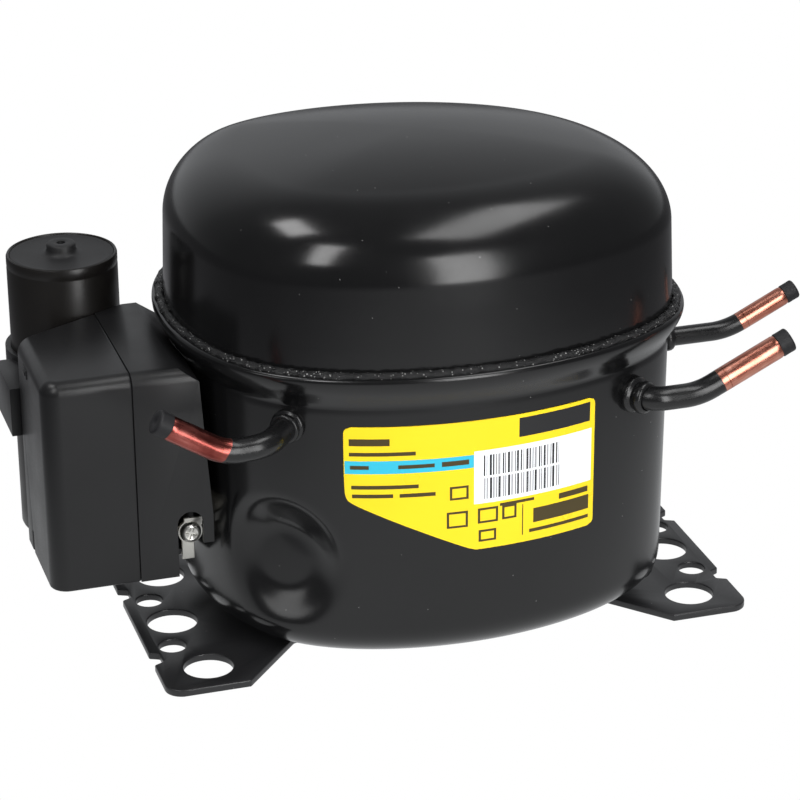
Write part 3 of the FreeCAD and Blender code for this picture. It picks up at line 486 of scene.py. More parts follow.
# ---------------------------------------------------------------- finishes
ENAMEL = paint("enamel_black")
ENAMEL_FOOT = paint("enamel_foot", (0.012, 0.012, 0.0128), (0.26, 0.4), 0.01, 0.8)
# the bead's dense light grey specks are painted glints
ENAMEL_BEAD = paint("enamel_weld", (0.006, 0.006, 0.0063), (0.08, 0.3), 0.01, 1.0, 0.5,
                    0.9, 0.26)
ENAMEL_COLLAR = paint("enamel_collar", (0.0045, 0.0045, 0.0048), (0.2, 0.34), 0.02, 0.6)
BOX_BLACK = plastic("box_black", (0.006, 0.006, 0.0064), 0.36, 0.012, 0.4)
CAN_BLACK = plastic("can_black", (0.0062, 0.0055, 0.005), 0.32, 0.004, 0.5, 0.2)
CAN_DECK = plastic("can_deck_black", (0.009, 0.009, 0.0095), 0.5, 0.02)
RUBBER = plastic("seal_rubber_black", (0.007, 0.007, 0.008), 0.55, 0.03, 0.3, 0.4)
CREAM = plastic("cream_plastic", (0.62, 0.57, 0.44), 0.45, 0.015)
IVORY = plastic("ivory_plastic", (0.74, 0.71, 0.62), 0.4, 0.015)
BAKELITE = plastic("bakelite", (0.03, 0.022, 0.018), 0.4, 0.02)
GASKET = plastic("gasket_sheet", (0.12, 0.2, 0.17), 0.8, 0.05, 0.25)
ZINC = metal("zinc_plate", (0.72, 0.71, 0.67), 0.3, None, 0.15, 2.0, 0.01)
TIN = metal("tinned_steel", (0.6, 0.59, 0.55), 0.36, (1, 1, 0.2), 0.2, 2.0, 0.01)
GROUND = metal("ground_steel", (0.56, 0.56, 0.57), 0.22, (1, 1, 6), 0.12, 1.2, 0.004)
BLUED = metal("blued_spring", (0.2, 0.22, 0.27), 0.28, None, 0.25, 2.0, 0.006)
BRASS = metal("brass_screw", (0.72, 0.52, 0.22), 0.3, None, 0.15, 1.5, 0.01)
ALUMINIUM = metal("die_cast_aluminium", (0.72, 0.73, 0.75), 0.45, None, 0.15, 4.0, 0.04)
BUNDY = metal("steel_line", (0.42, 0.41, 0.4), 0.35, None, 0.2, 2.5, 0.01)
SINTER = metal("sintered_steel", (0.33, 0.33, 0.34), 0.5, None, 0.25, 1.0, 0.05)
IRON = casting("grey_iron_cast", (0.13, 0.13, 0.135))
STACK = laminations("lamination_stack")
COPPER_TURNS = winding("motor_turns", (0.62, 0.25, 0.1))
COIL_TURNS = winding("relay_turns", (0.55, 0.24, 0.09), 0.35)
BRIGHT_COPPER = ((0.3, (0.4, 0.13, 0.085)), (0.46, (0.56, 0.2, 0.14)),
                 (0.58, (0.68, 0.3, 0.22)), (0.72, (0.82, 0.46, 0.36)))
RED_COPPER = ((0.3, (0.17, 0.032, 0.026)), (0.46, (0.31, 0.075, 0.062)),
              (0.58, (0.42, 0.12, 0.1)), (0.72, (0.6, 0.24, 0.2)))


def stub_finish(name, start, along, tones):
    """Copper plating beyond a ragged paint line at start, black enamel before it."""
    g = Graph(name)
    split = g.node("ShaderNodeVectorMath", Vector=g.place)
    split.operation = "DOT_PRODUCT"
    split.inputs[1].default_value = tuple(along)
    reach = g.maths("SUBTRACT", split.outputs["Value"], start.dot(along) * MM)
    ragged = g.maths("ADD", reach, g.maths("MULTIPLY", g.maths("SUBTRACT", g.noise(2.2), 0.5),
                                           0.5 * MM))
    bare = g.maths("MULTIPLY", ragged, 4000.0, clamp=True)
    # the same place squeezed along the tube, so that its marks run lengthwise
    squeezed = g.node("ShaderNodeVectorMath")
    squeezed.operation = "MULTIPLY_ADD"
    g.put(squeezed.inputs[0], split.outputs["Value"])
    squeezed.inputs[1].default_value = tuple(along * -0.88)
    g.put(squeezed.inputs[2], g.place)
    drawn = g.noise(1.6, 4.0, 0.6, squeezed.outputs["Vector"])
    cloudy = g.noise(6.0, 3.0, 0.5)
    mixed = g.maths("ADD", g.maths("MULTIPLY", drawn, 0.6), g.maths("MULTIPLY", cloudy, 0.4))
    copper = g.ramp(mixed, tones)
    from_score = g.maths("ABSOLUTE", g.maths("SUBTRACT", reach, 2.4 * MM))
    score = g.maths("LESS_THAN", from_score, 0.16 * MM)
    copper = g.mix(g.maths("MULTIPLY", score, 0.65), copper, (0.25, 0.07, 0.04))
    colour = g.mix(bare, (0.005, 0.005, 0.0053), copper)
    gloss = g.span(mixed, 0.3, 0.7, 0.2, 0.34)
    return g.surface(Base_Color=colour, Metallic=bare, Roughness=gloss,
                     Normal=g.bump(g.maths("ADD", drawn, g.maths("MULTIPLY", bare, -1.2)), 0.012))


def film(name, tint, rough=0.3):
    """Printed vinyl film with a very light dusting and faint scuffs."""
    g = Graph(name)
    cloudy = g.noise(18.0, 3.0)
    scuffs = g.noise(1.4, 6.0, 0.75, g.scaled(1, 1, 3.5))
    colour = g.mix(cloudy, tuple(c * 0.95 for c in tint), tuple(min(1.0, c * 1.04) for c in tint))
    worn = g.maths("MULTIPLY", g.maths("GREATER_THAN", scuffs, 0.735), 0.22)
    colour = g.mix(worn, colour, tuple(c * 0.6 for c in tint))
    gloss = g.span(cloudy, 0.3, 0.7, rough - 0.05, rough + 0.07)
    return g.surface(Base_Color=colour, Roughness=gloss,
                     Normal=g.bump(g.noise(1.1, 2.0), 0.006), IOR=1.45)


# ---------------------------------------------------------------- shell
DENT_FACING = -134.0
DENT_TILT = 9.0
DENT_LEAN = 0.16
DENT_HEIGHT = 40.5
DENT_REACH = 25.5
DENT_DEPTH = 7.6
DENT_SLOPE_WIDTH = 17.0
DENT_ANCHOR = plan_point(DENT_FACING, WALL_TOP_INSET, DENT_HEIGHT)
NUB = Vector((70.6, -30.0, 9.0))
NUB_HEIGHT = 2.2
NUB_SPREAD = 4.0
NUB_REACH = 12.0


def pressed(point, thick=0.0):
    """Move a point of the wall for the pressed dent and the small nub on the front."""
    out = (facing(DENT_FACING + DENT_TILT) + Z * DENT_LEAN).normalized()
    offset = point - DENT_ANCHOR
    beyond = offset.dot(out)
    radius = (offset - out * beyond).length
    moved = Vector(point)
    if radius < DENT_REACH and beyond > -32:
        sunk = beyond + thick + DENT_DEPTH - 0.3 * min(beyond + thick, 0.0)
        sunk = 0.5 * (sunk + math.sqrt(sunk * sunk + 3.0))
        moved = point - out * sunk * smooth_step(radius, DENT_REACH,
                                                  DENT_REACH - DENT_SLOPE_WIDTH)
    near = (point - NUB).length
    if near < NUB_REACH:
        outward = Vector((point.x - PLAN_CENTRE[0], point.y - PLAN_CENTRE[1], -18.0)).normalized()
        moved += outward * NUB_HEIGHT * math.exp(-(near / NUB_SPREAD) ** 2)
    return moved


def lower_stations(thick):
    """Stations of the lower wall from the middle of its floor up, moved in by thick."""
    floor = 4.57 + thick
    foot = WALL_FOOT_INSET + thick
    up = 15.0 - thick
    across = 21.02 - thick
    stations = [(foot + across, floor, s) for s in (0.02, 0.25, 0.5, 0.7, 0.85, 0.95)]
    for step in range(17):
        angle = math.radians(90 - 90 * step / 16)
        stations.append((foot + across * (1 - math.cos(angle)), floor + up * (1 - math.sin(angle))))
    z = 21.0
    while z < 95.5:
        lean = (WALL_TOP_INSET - WALL_FOOT_INSET) * (z - WALL_FOOT_Z) / WALL_RISE
        stations.append((foot + lean, z))
        z += 1.25
    return stations


def build_shell():
    outer = lower_stations(0.0)
    # a shallow sunk line, then the wall opens out into the rim that takes the dome
    outer += [(1.08, 96.4), (1.22, 97.2), (1.2, 97.9), (0.9, 98.6), (0.35, 99.6), (-0.4, 100.8),
              (-1.3, 102.2), (-2.2, 103.6), (-3.0, 105.0), (-3.55, 106.3), (-3.86, 107.3),
              (-3.95, 108.1), (-3.9, 108.8), (-3.65, 109.3), (-3.2, 109.57), (-2.6, 109.6),
              (-0.06, 109.6)]
    inner = [(-0.06, 105.4)]
    inner += [(3.56, 98.1)] + lower_stations(SHEET)[::-1]
    rows = [[pressed(p) for p in row] for row in oval_rows(outer)]
    rows += [[pressed(p, SHEET) for p in row] for row in oval_rows(inner)]
    mesh = sheet_mesh("shell_lower", rows, cap=(True, True))
    finish_mesh("shell_lower", mesh, [ENAMEL], "housing", ("lower_shell",), 50)

    def upper_stations(thick):
        stations = [(thick, 104.6 if thick else 105.5), (thick, 109.0), (thick + 0.05, 112.0)]
        stations += [(thick + 0.88 * t / 8.0, 112.0 + 25.3 * t / 8.0) for t in range(1, 9)]
        turn = 75.0
        across = 33.24 - thick
        up = 25.1 - thick
        for step in range(1, 31):
            angle = math.radians(turn * step / 30)
            stations.append((0.88 + thick + across * (1 - math.cos(angle)),
                             137.3 + up * math.sin(angle)))
        inset, z = stations[-1]
        rise = 167.6 - thick - z
        for step in range(1, 25):
            scale = 1.0 - step / 24.5
            stations.append((inset, z + rise * (1 - scale ** 1.9), scale))
        return stations

    stations = upper_stations(0.0)
    lip = [(2.4, 105.1), (0.4, 105.1)]
    inside = upper_stations(SHEET)
    rows = oval_rows(inside[::-1] + lip + stations)
    mesh = sheet_mesh("shell_upper", rows, cap=(True, True))
    finish_mesh("shell_upper", mesh, [ENAMEL], "housing", ("upper_shell",), 50)

    wide, tall = 1.55, 1.3
    steps = 900
    rows = []
    for i in range(steps):
        degrees = 360.0 * i / steps
        centre = plan_point(degrees, -1.15, 109.9)
        out = facing(degrees)
        row = []
        for k in range(14):
            angle = 2 * math.pi * k / 14
            spot = centre + out * math.cos(angle) * wide + Z * math.sin(angle) * tall
            ripple = noise.noise(spot * 0.55) * 0.34 + noise.noise(spot * 1.4) * 0.2
            blob = max(0.0, noise.noise(spot * 0.3 + Vector((9, 4, 7)))) * 0.35
            size = 1.0 + ripple + blob
            lifted = min(math.sin(angle) * tall * size, 1.9)
            row.append(centre + out * math.cos(angle) * wide * size + Z * lifted)
        rows.append(row)
    mesh = sheet_mesh("seam_bead", rows + rows[:1])
    finish_mesh("seam_bead", mesh, [ENAMEL_BEAD], "housing", ("seam_weld",), 80)


def build_feet():
    for node in ("foot_left", "foot_right"):
        from_cad(node, node + "_plate", [ENAMEL_FOOT], 0.45, 40)
    meshes = []
    for side in (-1, 1):
        for end in (-1, 1):
            rows = []
            for i in range(37):
                x = side * 50.0 - 4.4 + 8.8 * i / 36
                taper = math.sqrt(max(0.02, 1 - (abs(i - 18) / 18.2) ** 4))
                centre = Vector((x, end * 21.0, 3.5))
                row = []
                for k in range(12):
                    angle = 2 * math.pi * k / 12
                    ray = Y * math.cos(angle) + Z * math.sin(angle)
                    bumpy = 0.86 + 0.18 * noise.noise((centre + ray) * 1.3)
                    row.append(centre + ray * bumpy * taper)
                rows.append(row)
            meshes.append(sheet_mesh("bead", rows, cap=(True, True)))
    finish_mesh("foot_beads", joined("foot_beads", meshes), [ENAMEL_BEAD], "housing",
                ("foot_welds",), 80)


def joined(name, meshes):
    """One mesh made of several."""
    work = bmesh.new()
    for mesh in meshes:
        work.from_mesh(mesh)
        bpy.data.meshes.remove(mesh)
    out = bpy.data.meshes.new(name)
    work.to_mesh(out)
    work.free()
    return out


# ---------------------------------------------------------------- connectors
STUBS = {
    "suction": dict(facing=-60.0, height=87.5, run_y=-58.0, bend=(76.8, 87.5),
                    end=(104.0, 100.8), turns=(9.0, 22.0), radius=4.0, bore=3.1, bare=84.0),
    "process": dict(facing=-128.2, height=90.6, run_y=-60.0, bend=(-82.6, 89.8),
                    end=(-100.4, 101.1), turns=(10.0, 16.0), radius=4.0, bore=3.1, bare=-83.0),
    "discharge": dict(facing=0.0, height=86.4, run_y=-7.0, bend=(107.5, 86.4),
                      end=(128.3, 96.6), turns=(25.0,), radius=3.25, bore=2.5, bare=112.0),
}


def stub_points(stub):
    root = plan_point(stub["facing"], 1.26, stub["height"])
    out = facing(stub["facing"])
    start = root - out * 9.0
    bend = Vector((stub["bend"][0], stub["run_y"], stub["bend"][1]))
    end = Vector((stub["end"][0], stub["run_y"], stub["end"][1]))
    if abs(out.y) < 0.1:
        return [Vector((start.x, stub["run_y"], start.z)), bend, end], root, out
    side = root + out * ((stub["run_y"] - root.y) / out.y)
    return [start, side, bend, end], root, out


def build_connectors():
    for name, stub in STUBS.items():
        points, root, out = stub_points(stub)
        radius = stub["radius"]
        bore = stub["bore"]
        frames = path_frames(points, stub["turns"])
        end = points[-1]
        along = (points[-1] - points[-2]).normalized()
        middle = points[-2] + along * ((stub["bare"] - points[-2].x) / along.x)
        bare_length = (end - middle).length

        def size_at(travelled, total):
            ahead = total - travelled
            if ahead < 0.35:
                return radius - 0.18 * (1 - ahead / 0.35)
            return radius if ahead < bare_length else radius - 0.02

        tones = RED_COPPER if name == "process" else BRIGHT_COPPER
        finish = stub_finish(name + "_stub_finish", middle, along, tones)
        mesh = tube(name + "_stub", frames, size_at, 64, bore)
        finish_mesh(name + "_stub", mesh, [finish], "housing", (name + "_tube",))
        wide = radius + 1.95
        profile = [(radius + 0.02, -4.9), (wide, -4.9), (wide, 0.4)]
        # a flange on the wall, a groove, and a rounded ring where the tube comes out
        profile += [(wide + 0.2, 0.8), (wide + 0.22, 1.4), (wide, 1.9), (wide - 0.5, 2.25)]
        profile += [(radius + 0.9, 2.7), (radius + 0.85, 3.3), (radius + 1.1, 3.75)]
        profile += [(radius + 1.4, 4.3), (radius + 1.45, 5.0), (radius + 1.35, 5.7)]
        profile += [(radius + 1.05, 6.3), (radius + 0.6, 6.7), (radius + 0.02, 6.8)]
        if name == "process":
            # a lighter collar, shorter and thinner than the other two
            profile = [(radius + (r - radius) * 0.72, z if z < 0.5 else 0.5 + (z - 0.5) * 0.6)
                       for r, z in profile]
        collar_root = Vector((root.x, points[0].y, root.z)) if name == "discharge" else root
        mesh = lathe(name + "_collar_ring", profile, collar_root, out, closed=True)
        finish_mesh(name + "_collar_ring", mesh, [ENAMEL_COLLAR], "housing", (name + "_collar",),
                    40)
        head = radius + 0.08
        profile = [(0.0, -8.0), (bore - 0.5, -8.0), (bore - 0.1, -7.5), (bore - 0.08, -0.02),
                   (head - 0.25, 0.0), (head, 0.25), (head - 0.03, 2.2), (head + 0.01, 3.7)]
        profile += arc_points((head - 0.75, 4.03), 0.76, 0, 90, 6)
        profile += [(head - 1.5, 4.78), (1.1, 4.62), (0.9, 4.45), (0.0, 4.4)]
        mesh = lathe(name + "_rubber_seal", profile, end, along, 64)
        finish_mesh(name + "_rubber_seal", mesh, [RUBBER], name + "_seal", (name + "_seal",),
                    40)


# ---------------------------------------------------------------- label
def front_point(x, z, lift):
    """Point on the front of the lower wall at a given x and z, lifted off it."""
    lean = (WALL_FOOT_INSET - WALL_TOP_INSET) * (z - WALL_FOOT_Z) / WALL_RISE
    inset = WALL_FOOT_INSET - lean - lift
    low, high = -175.0, -5.0
    for _ in range(40):
        middle = (low + high) / 2
        if plan_point(middle, inset).x < x:
            low = middle
        else:
            high = middle
    return plan_point(middle, inset, z)


def patch(name, outline, low, high, lift, thick=0.05, rows=24, columns=60):
    """Thin curved patch; outline gives its left and right x at a height."""
    levels = [low + (high - low) * i / rows for i in range(rows + 1)]

    def side(out):
        grid = []
        for z in levels:
            left, right = outline(z)
            grid.append([front_point(left + (right - left) * j / columns, z, out)
                         for j in range(columns + 1)])
        return grid

    front = side(lift)
    back = side(lift - thick)
    loops = [f + b[::-1] for f, b in zip(front, back)]
    return sheet_mesh(name, loops, cap=(True, True))


def bar(low_x, high_x):
    return lambda z: (low_x, high_x)


LABEL = dict(left=-43.5, right=40.5, low=46.0, high=91.7, cut_z=65.6, cut_x=-2.8, corner=2.2,
             cut_round=3.0)


def label_outline(z):
    """Left and right ends of the label at a height, with rounded corners."""
    left, right = LABEL["left"], LABEL["right"]
    slope = (LABEL["cut_x"] - LABEL["left"]) / (LABEL["cut_z"] - LABEL["low"])
    past = (LABEL["cut_z"] - z) * slope
    left += 0.5 * (past + math.hypot(past, LABEL["cut_round"]))
    for edge, inward in ((LABEL["high"] - z, 1), (z - LABEL["low"], -1)):
        if edge < LABEL["corner"]:
            bite = LABEL["corner"] - math.sqrt(max(0.0, LABEL["corner"] ** 2
                                                   - (LABEL["corner"] - edge) ** 2))
            right -= bite
            left += bite if inward == 1 else bite * 0.4
    return left, right


def build_label():
    yellow = film("label_yellow", (0.88, 0.62, 0.009))
    black = film("print_black", (0.012, 0.012, 0.013), 0.34)
    cyan = film("print_cyan", (0.03, 0.45, 0.62))
    white = film("label_white", (0.86, 0.87, 0.9))
    ink = film("print_ink", (0.05, 0.035, 0.008), 0.4)
    grey = film("print_grey", (0.3, 0.3, 0.31), 0.4)
    base = patch("label_film", label_outline, LABEL["low"], LABEL["high"], 0.3, 0.22, 60, 90)
    finish_mesh("label_film", base, [yellow], "housing", ("rating_label",))

    def printed(name, material, boxes, lift=0.335):
        meshes = []
        for left, right, low, high in boxes:
            columns = max(2, int((right - left) / 1.2))
            meshes.append(patch(name, bar(left, right), low, high, lift, 0.03, 4, columns))
        finish_mesh(name, joined(name, meshes), [material], "housing", ())

    printed("label_header", black, [(12.7, 38.6, 83.7, 90.4)])
    printed("label_band", cyan, [(-43.2, -2.7, 75.4, 79.9)])
    printed("label_panel", white, [(-2.6, 39.3, 62.3, 81.0)])
    # plain blocks stand where the real label has lettering
    lines = [(-41.9, -29.6, 85.2, 87.6), (-41.9, -21.5, 81.6, 82.9), (-41.6, -36.0, 77.0, 78.3),
             (-27.0, -15.5, 77.0, 78.3), (-13.2, -4.3, 76.8, 78.5), (-41.3, -20.6, 70.0, 71.3),
             (-41.1, -28.6, 66.9, 68.2), (-26.6, -15.2, 66.9, 68.2), (6.2, 18.2, 60.4, 61.4),
             (27.3, 38.2, 58.6, 60.6), (18.0, 38.6, 52.3, 57.4), (16.6, 38.6, 49.0, 50.2),
             (14.0, 14.35, 48.6, 59.6)]
    printed("label_lines", ink, lines, 0.365)
    marks = [(-11.6, -4.6, 54.6, 60.4), (-1.3, 5.6, 55.2, 60.6), (7.0, 12.0, 55.4, 60.4),
             (-1.0, 5.0, 48.6, 52.8), (-10.6, -4.4, 64.6, 69.4)]
    printed("label_marks", ink, marks)
    printed("label_mark_centres", yellow, [(a + 0.8, b - 0.8, c + 0.8, d - 0.8)
                                           for a, b, c, d in marks], 0.365)
    stripes = []
    pale = []
    x = 0.6
    step = 0
    while x < 27.6:
        wide = (0.5, 0.3, 0.75, 0.35, 0.55, 0.28, 0.9, 0.4)[(step * 5 + step // 3) % 8]
        chosen = pale if step % 4 == 1 else stripes
        chosen.append((x, x + wide, 71.9, 79.2))
        other = stripes if step % 3 else pale
        other.append((x + 0.12, x + 0.12 + wide, 63.7, 71.1))
        x += wide + (0.42, 0.62, 0.34, 0.8)[(step * 3) % 4]
        step += 1
    printed("label_stripes", black, stripes)
    printed("label_stripes_pale", grey, pale)


# ---------------------------------------------------------------- electrical box
def build_box():
    from_cad("box_cover", "box_cover_shell", [BOX_BLACK], 0.95, 40)
    from_cad("box_base", "box_base_shell", [BOX_BLACK], 0.95, 40)
    # the latch on the left face: a low frame with a tongue standing in it
    latch_frame = block_mesh("latch", (-133.35, 2.0, 96.2), (-132.6, 9.0, 99.4), 0.25)
    tongue = block_mesh("latch", (-133.6, 3.2, 97.0), (-132.8, 7.8, 98.6), 0.3)
    finish_mesh("box_latch", joined("box_latch", [latch_frame, tongue]), [BOX_BLACK], "box_cover",
                ())


def block_mesh(name, low, high, bevel):
    """A box with rounded edges."""
    work = bmesh.new()
    bmesh.ops.create_cube(work, size=1.0)
    for vertex in work.verts:
        vertex.co = Vector([(a + b) / 2 + c * (b - a) for a, b, c in zip(low, high, vertex.co)])
    bmesh.ops.bevel(work, geom=list(work.edges), offset=bevel, segments=3, profile=0.5,
                    affect="EDGES")
    mesh = bpy.data.meshes.new(name)
    work.to_mesh(mesh)
    work.free()
    return mesh


def build_capacitor():
    at = (-110.5, 51.3, 21.5)
    radius = 18.7
    top = 99.0
    profile = [(0.0, 0.0), (radius - 1.2, 0.0), (radius - 0.35, 0.35), (radius, 1.2)]
    profile += [(radius, 8.0), (radius, 60.0), (radius, top - 4.6), (radius - 0.12, top - 4.2),
                (radius - 0.12, top - 3.7), (radius, top - 3.3), (radius, top - 0.8),
                (radius - 0.25, top - 0.2), (radius - 0.7, top), (radius - 1.05, top - 0.2),
                (radius - 1.2, top - 0.6), (radius - 1.22, top - 1.2), (0.0, top - 1.2)]
    mesh = lathe("capacitor_can_shell", profile, at, segments=128)
    finish_mesh("capacitor_can_shell", mesh, [CAN_BLACK], "housing", ("capacitor_can",),
                40)
    deck = radius - 1.26
    profile = [(0.0, top - 1.19), (deck, top - 1.19), (deck, top - 0.5), (deck - 0.5, top - 0.35),
               (deck - 1.6, top - 0.55), (deck - 2.1, top - 0.62), (7.4, top - 0.5),
               (6.0, top - 0.3), (5.3, top + 0.2), (4.95, top + 1.2), (4.9, top + 2.6),
               (4.6, top + 3.1), (4.1, top + 3.29), (1.9, top + 3.29), (1.5, top + 3.1),
               (1.4, top + 2.0), (0.0, top + 1.9)]
    mesh = lathe("capacitor_deck", profile, at, segments=96)
    finish_mesh("capacitor_deck", mesh, [CAN_DECK], "housing", ("capacitor_top",), 40)
    from_cad("capacitor_clip", "capacitor_clip_band", [BOX_BLACK], 0.6, 40)


def build_earth_point():
    at = Vector((-85.0, -16.0, 42.8))
    from_cad("earth_tab", "earth_tab_blade", [TIN], 0.25, 30)
    profile = [(0.0, -1.2), (0.6, -1.25), (1.0, -1.4), (2.2, -1.75), (3.0, -1.45), (3.45, -0.9),
               (3.6, -0.3), (3.55, -0.02), (1.8, 0.0), (1.8, 6.0), (1.2, 7.0), (0.0, 7.0)]
    mesh = lathe("earth_screw_head", profile, at, (0, 1, 0), 64)
    cross = []
    for turn in (0.0, 90.0):
        slot_mesh = block_mesh("slot", (-2.1, -2.6, -0.42), (2.1, -0.85, 0.42), 0.12)
        turned = Matrix.Rotation(math.radians(turn + 20), 4, "Y")
        slot_mesh.transform(Matrix.Translation(at) @ turned)
        cross.append(slot_mesh)
    carved(mesh, cross)
    finish_mesh("earth_screw_head", mesh, [ZINC], "housing", ("earth_screw",), 35)


def carved(mesh, tools):
    """Cut closed tool meshes out of a mesh."""
    keeper = bpy.data.objects.new("carve_work", mesh)
    bpy.context.scene.collection.objects.link(keeper)
    cutters = []
    for tool in tools:
        cutter = bpy.data.objects.new("carve_tool", tool)
        bpy.context.scene.collection.objects.link(cutter)
        cut = keeper.modifiers.new("cut", "BOOLEAN")
        cut.object = cutter
        cut.operation = "DIFFERENCE"
        cut.solver = "EXACT"
        cutters.append(cutter)
    graph = bpy.context.evaluated_depsgraph_get()
    made = bpy.data.meshes.new_from_object(keeper.evaluated_get(graph))
    work = bmesh.new()
    work.from_mesh(made)
    work.to_mesh(mesh)
    work.free()
    for cutter in cutters:
        bpy.data.objects.remove(cutter)
    bpy.data.objects.remove(keeper)


# ---------------------------------------------------------------- pieces inside
def build_inside():
    beveled = {
        "start_relay_case": (CREAM, 0.5), "terminal_block": (IVORY, 0.4),
        "overload_protector": (BAKELITE, 0.8), "terminal_block_screws": (BRASS, 0.3),
        "terminal_cup": (SINTER, 0.3), "crankcase": (IRON, 0.6), "cylinder_head": (IRON, 0.9),
        "valve_plate": (GROUND, 0.2), "head_screws": (ZINC, 0.35), "stator_screws": (ZINC, 0.4),
        "upper_spring_seats": (IVORY, 0.5), "lower_spring_seats": (GROUND, 0.35),
        "discharge_reed_stop": (GROUND, 0.2), "crankshaft": (GROUND, 0.3),
        "counterweight": (SINTER, 0.5), "oil_pickup": (SINTER, 0.4),
        "slide_block": (SINTER, 0.3), "piston": (IRON, 0.3), "rotor_end_rings": (ALUMINIUM, 0.5),
    }
    for node, (material, bevel) in beveled.items():
        from_cad(node, node + "_piece", [material], bevel, 30, 2)
    plain = {
        "terminal_pins": TIN, "relay_coil": COIL_TURNS, "relay_plunger": GROUND,
        "stator_core": STACK, "stator_windings": COPPER_TURNS, "valve_gasket": GASKET,
        "suction_reed": BLUED, "discharge_reed": BLUED, "support_springs": BLUED,
        "suction_muffler": IVORY, "discharge_muffler": IRON, "discharge_line": BUNDY,
        "oil_gallery_plug": GROUND, "rotor_core": STACK,
    }
    for node, material in plain.items():
        dress(node, material)


# ---------------------------------------------------------------- stage, light, camera
def stage_sheet(name, height, half, seen):
    """A flat sheet under the part, for the camera alone or for the light bouncing up."""
    mesh = bpy.data.meshes.new(name)
    mesh.from_pydata([(-half, -half, height), (half, -half, height), (half, half, height),
                      (-half, half, height)], [], [(0, 1, 2, 3)])
    sheet = bpy.data.objects.new(name, mesh)
    bpy.context.scene.collection.objects.link(sheet)
    sheet.visible_camera = seen
    sheet.visible_glossy = not seen
    sheet.visible_diffuse = not seen
    sheet.visible_transmission = seen
    sheet.visible_shadow = False
    return mesh


def build_stage():
    g = Graph("backdrop_white")
    g.surface(Base_Color=(0.0, 0.0, 0.0, 1.0), Roughness=1.0, IOR=1.0)
    g.shader.inputs["Emission Color"].default_value = (1, 1, 1, 1)
    g.shader.inputs["Emission Strength"].default_value = 1.0
    stage_sheet("backdrop", 0.0, 12.0, True).materials.append(g.material)

    # the table the part mirrors: pale in front of it, falling away to a dark room
    g = Graph("table_glow")
    spot = g.tree.nodes.new("ShaderNodeMapping")
    g.put(spot.inputs["Vector"], g.place)
    spot.inputs["Location"].default_value = (0.0, 0.15, 0.0)
    spot.inputs["Scale"].default_value = (1.5, 1.0, 0.0)
    reach = g.node("ShaderNodeVectorMath", Vector=spot.outputs[0])
    reach.operation = "LENGTH"
    glow = g.ramp(reach.outputs["Value"], ((0.0, (0.78, 0.79, 0.8)), (0.16, (0.74, 0.75, 0.76)),
                                           (0.32, (0.56, 0.57, 0.58)), (0.52, (0.2, 0.2, 0.21)),
                                           (0.85, (0.1, 0.1, 0.105))))
    g.surface(Base_Color=(0.0, 0.0, 0.0, 1.0), Roughness=1.0, IOR=1.0, Emission_Color=glow)
    g.shader.inputs["Emission Strength"].default_value = 1.0
    stage_sheet("table_top", -0.001, 3.0, False).materials.append(g.material)

    world = bpy.data.worlds.new("studio")
    bpy.context.scene.world = world
    world.use_nodes = True
    tree = world.node_tree
    tree.nodes.clear()
    way = tree.nodes.new("ShaderNodeTexCoord")
    toward = tree.nodes.new("ShaderNodeVectorMath")
    toward.operation = "DOT_PRODUCT"
    tree.links.new(way.outputs["Generated"], toward.inputs[0])
    toward.inputs[1].default_value = (0.29, 0.957, 0.0)
    ramp = tree.nodes.new("ShaderNodeValToRGB")
    tree.links.new(toward.outputs["Value"], ramp.inputs[0])
    levels = ((0.0, 0.12), (0.45, 0.2), (0.7, 0.42), (0.9, 0.6), (1.0, 0.42))
    set_stops(ramp.color_ramp, [(where, (level * 0.98, level, level * 1.03))
                                for where, level in levels])
    shade = tree.nodes.new("ShaderNodeBackground")
    tree.links.new(ramp.outputs[0], shade.inputs[0])
    shade.inputs[1].default_value = 1.0
    out = tree.nodes.new("ShaderNodeOutputWorld")
    tree.links.new(shade.outputs[0], out.inputs[0])


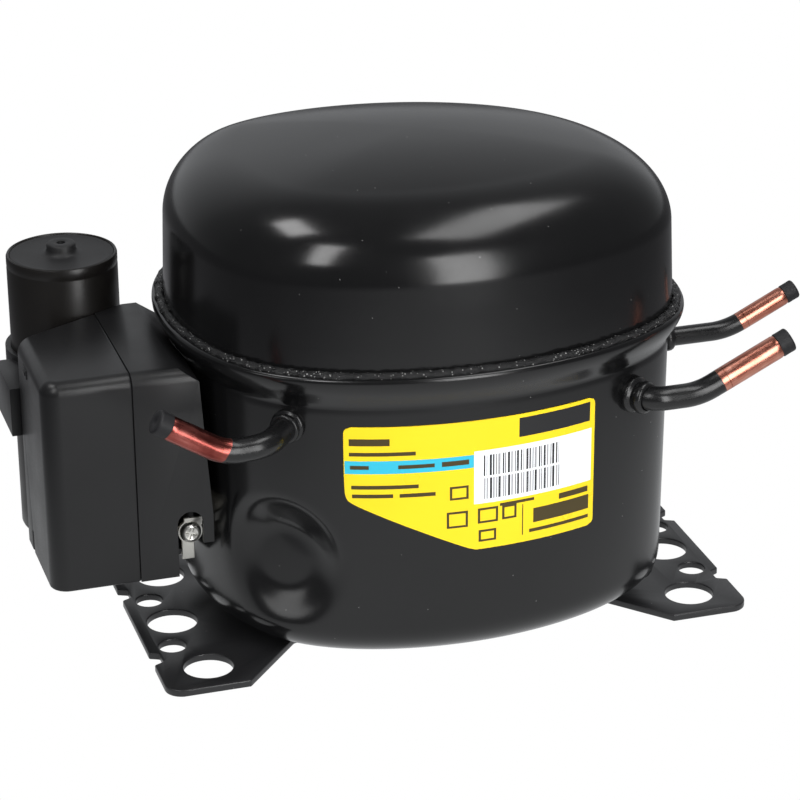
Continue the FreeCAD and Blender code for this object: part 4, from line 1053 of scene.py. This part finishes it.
def build_lights():
    """Soft boxes overhead and in front; the fills light without showing in the enamel."""
    softbox("ceiling_left", (-0.62, 0.1, 1.4), (0.0, 0.0, 0.15), (0.5, 0.34), 4.2)
    softbox("ceiling_right", (0.46, -0.24, 1.43), (0.0, 0.0, 0.15), (1.0, 0.4), 5.6)
    softbox("ceiling_fill", (0.0, 0.2, 1.5), (0.0, 0.0, 0.15), (0.9, 0.9), 5.0, False)
    softbox("window_light", (0.12, -0.64, 0.29), (0.0, -0.06, 0.2), (0.2, 0.56), 2.3)
    softbox("side_window", (-0.49, -0.53, 0.74), (-0.05, -0.05, 0.15), (0.16, 0.5), 1.9)
    # a small low window that only the lower shell sees, for the bottom of the dent
    low_window = softbox("low_window", (-0.86, -0.34, 0.36), (-0.06, -0.045, 0.04),
                         (0.34, 0.3), 0.75)
    seen_by = bpy.data.collections.new("low_window_receivers")
    seen_by.objects.link(bpy.data.objects["shell_lower"])
    low_window.light_linking.receiver_collection = seen_by
    softbox("front_fill", (0.5, -1.3, 0.8), (0.0, 0.0, 0.08), (0.6, 0.6), 13.0, False)
    softbox("left_fill", (-1.2, -0.7, 0.6), (0.0, 0.0, 0.08), (0.6, 0.6), 6.0, False)
    bpy.context.scene.view_settings.view_transform = "Standard"


def softbox(name, place, target, size, power, glossy=True):
    """A rectangular area light aimed at a point."""
    light = bpy.data.lights.new(name, "AREA")
    light.shape = "RECTANGLE"
    light.size, light.size_y = size
    light.energy = power
    lamp = bpy.data.objects.new(name, light)
    lamp.location = place
    lamp.rotation_euler = (Vector(target) - Vector(place)).to_track_quat("-Z", "Y").to_euler()
    lamp.visible_glossy = glossy
    lamp.visible_camera = False
    bpy.context.scene.collection.objects.link(lamp)
    return lamp


def build_camera():
    azimuth, elevation, roll = map(math.radians, (-16.851, 23.431, -0.596))
    back = Vector((math.sin(azimuth) * math.cos(elevation),
                   -math.cos(azimuth) * math.cos(elevation), math.sin(elevation)))
    right = Vector((math.cos(azimuth), math.sin(azimuth), 0))
    up = back.cross(right)
    turned_right = right * math.cos(roll) + up * math.sin(roll)
    turned_up = up * math.cos(roll) - right * math.sin(roll)
    lens = bpy.data.cameras.new("camera")
    lens.lens = 139.5
    lens.sensor_width = 36.0
    lens.clip_start = 0.05
    lens.clip_end = 20.0
    camera = bpy.data.objects.new("camera", lens)
    matrix = Matrix((turned_right, turned_up, back)).transposed().to_4x4()
    matrix.translation = Vector((-7.5, 0.0, 72.93)) * MM + back * 1.04442
    camera.matrix_world = matrix
    bpy.context.scene.collection.objects.link(camera)
    bpy.context.scene.camera = camera


build_shell()
build_feet()
build_connectors()
build_label()
build_box()
build_capacitor()
build_earth_point()
build_inside()
build_stage()
build_lights()
build_camera()
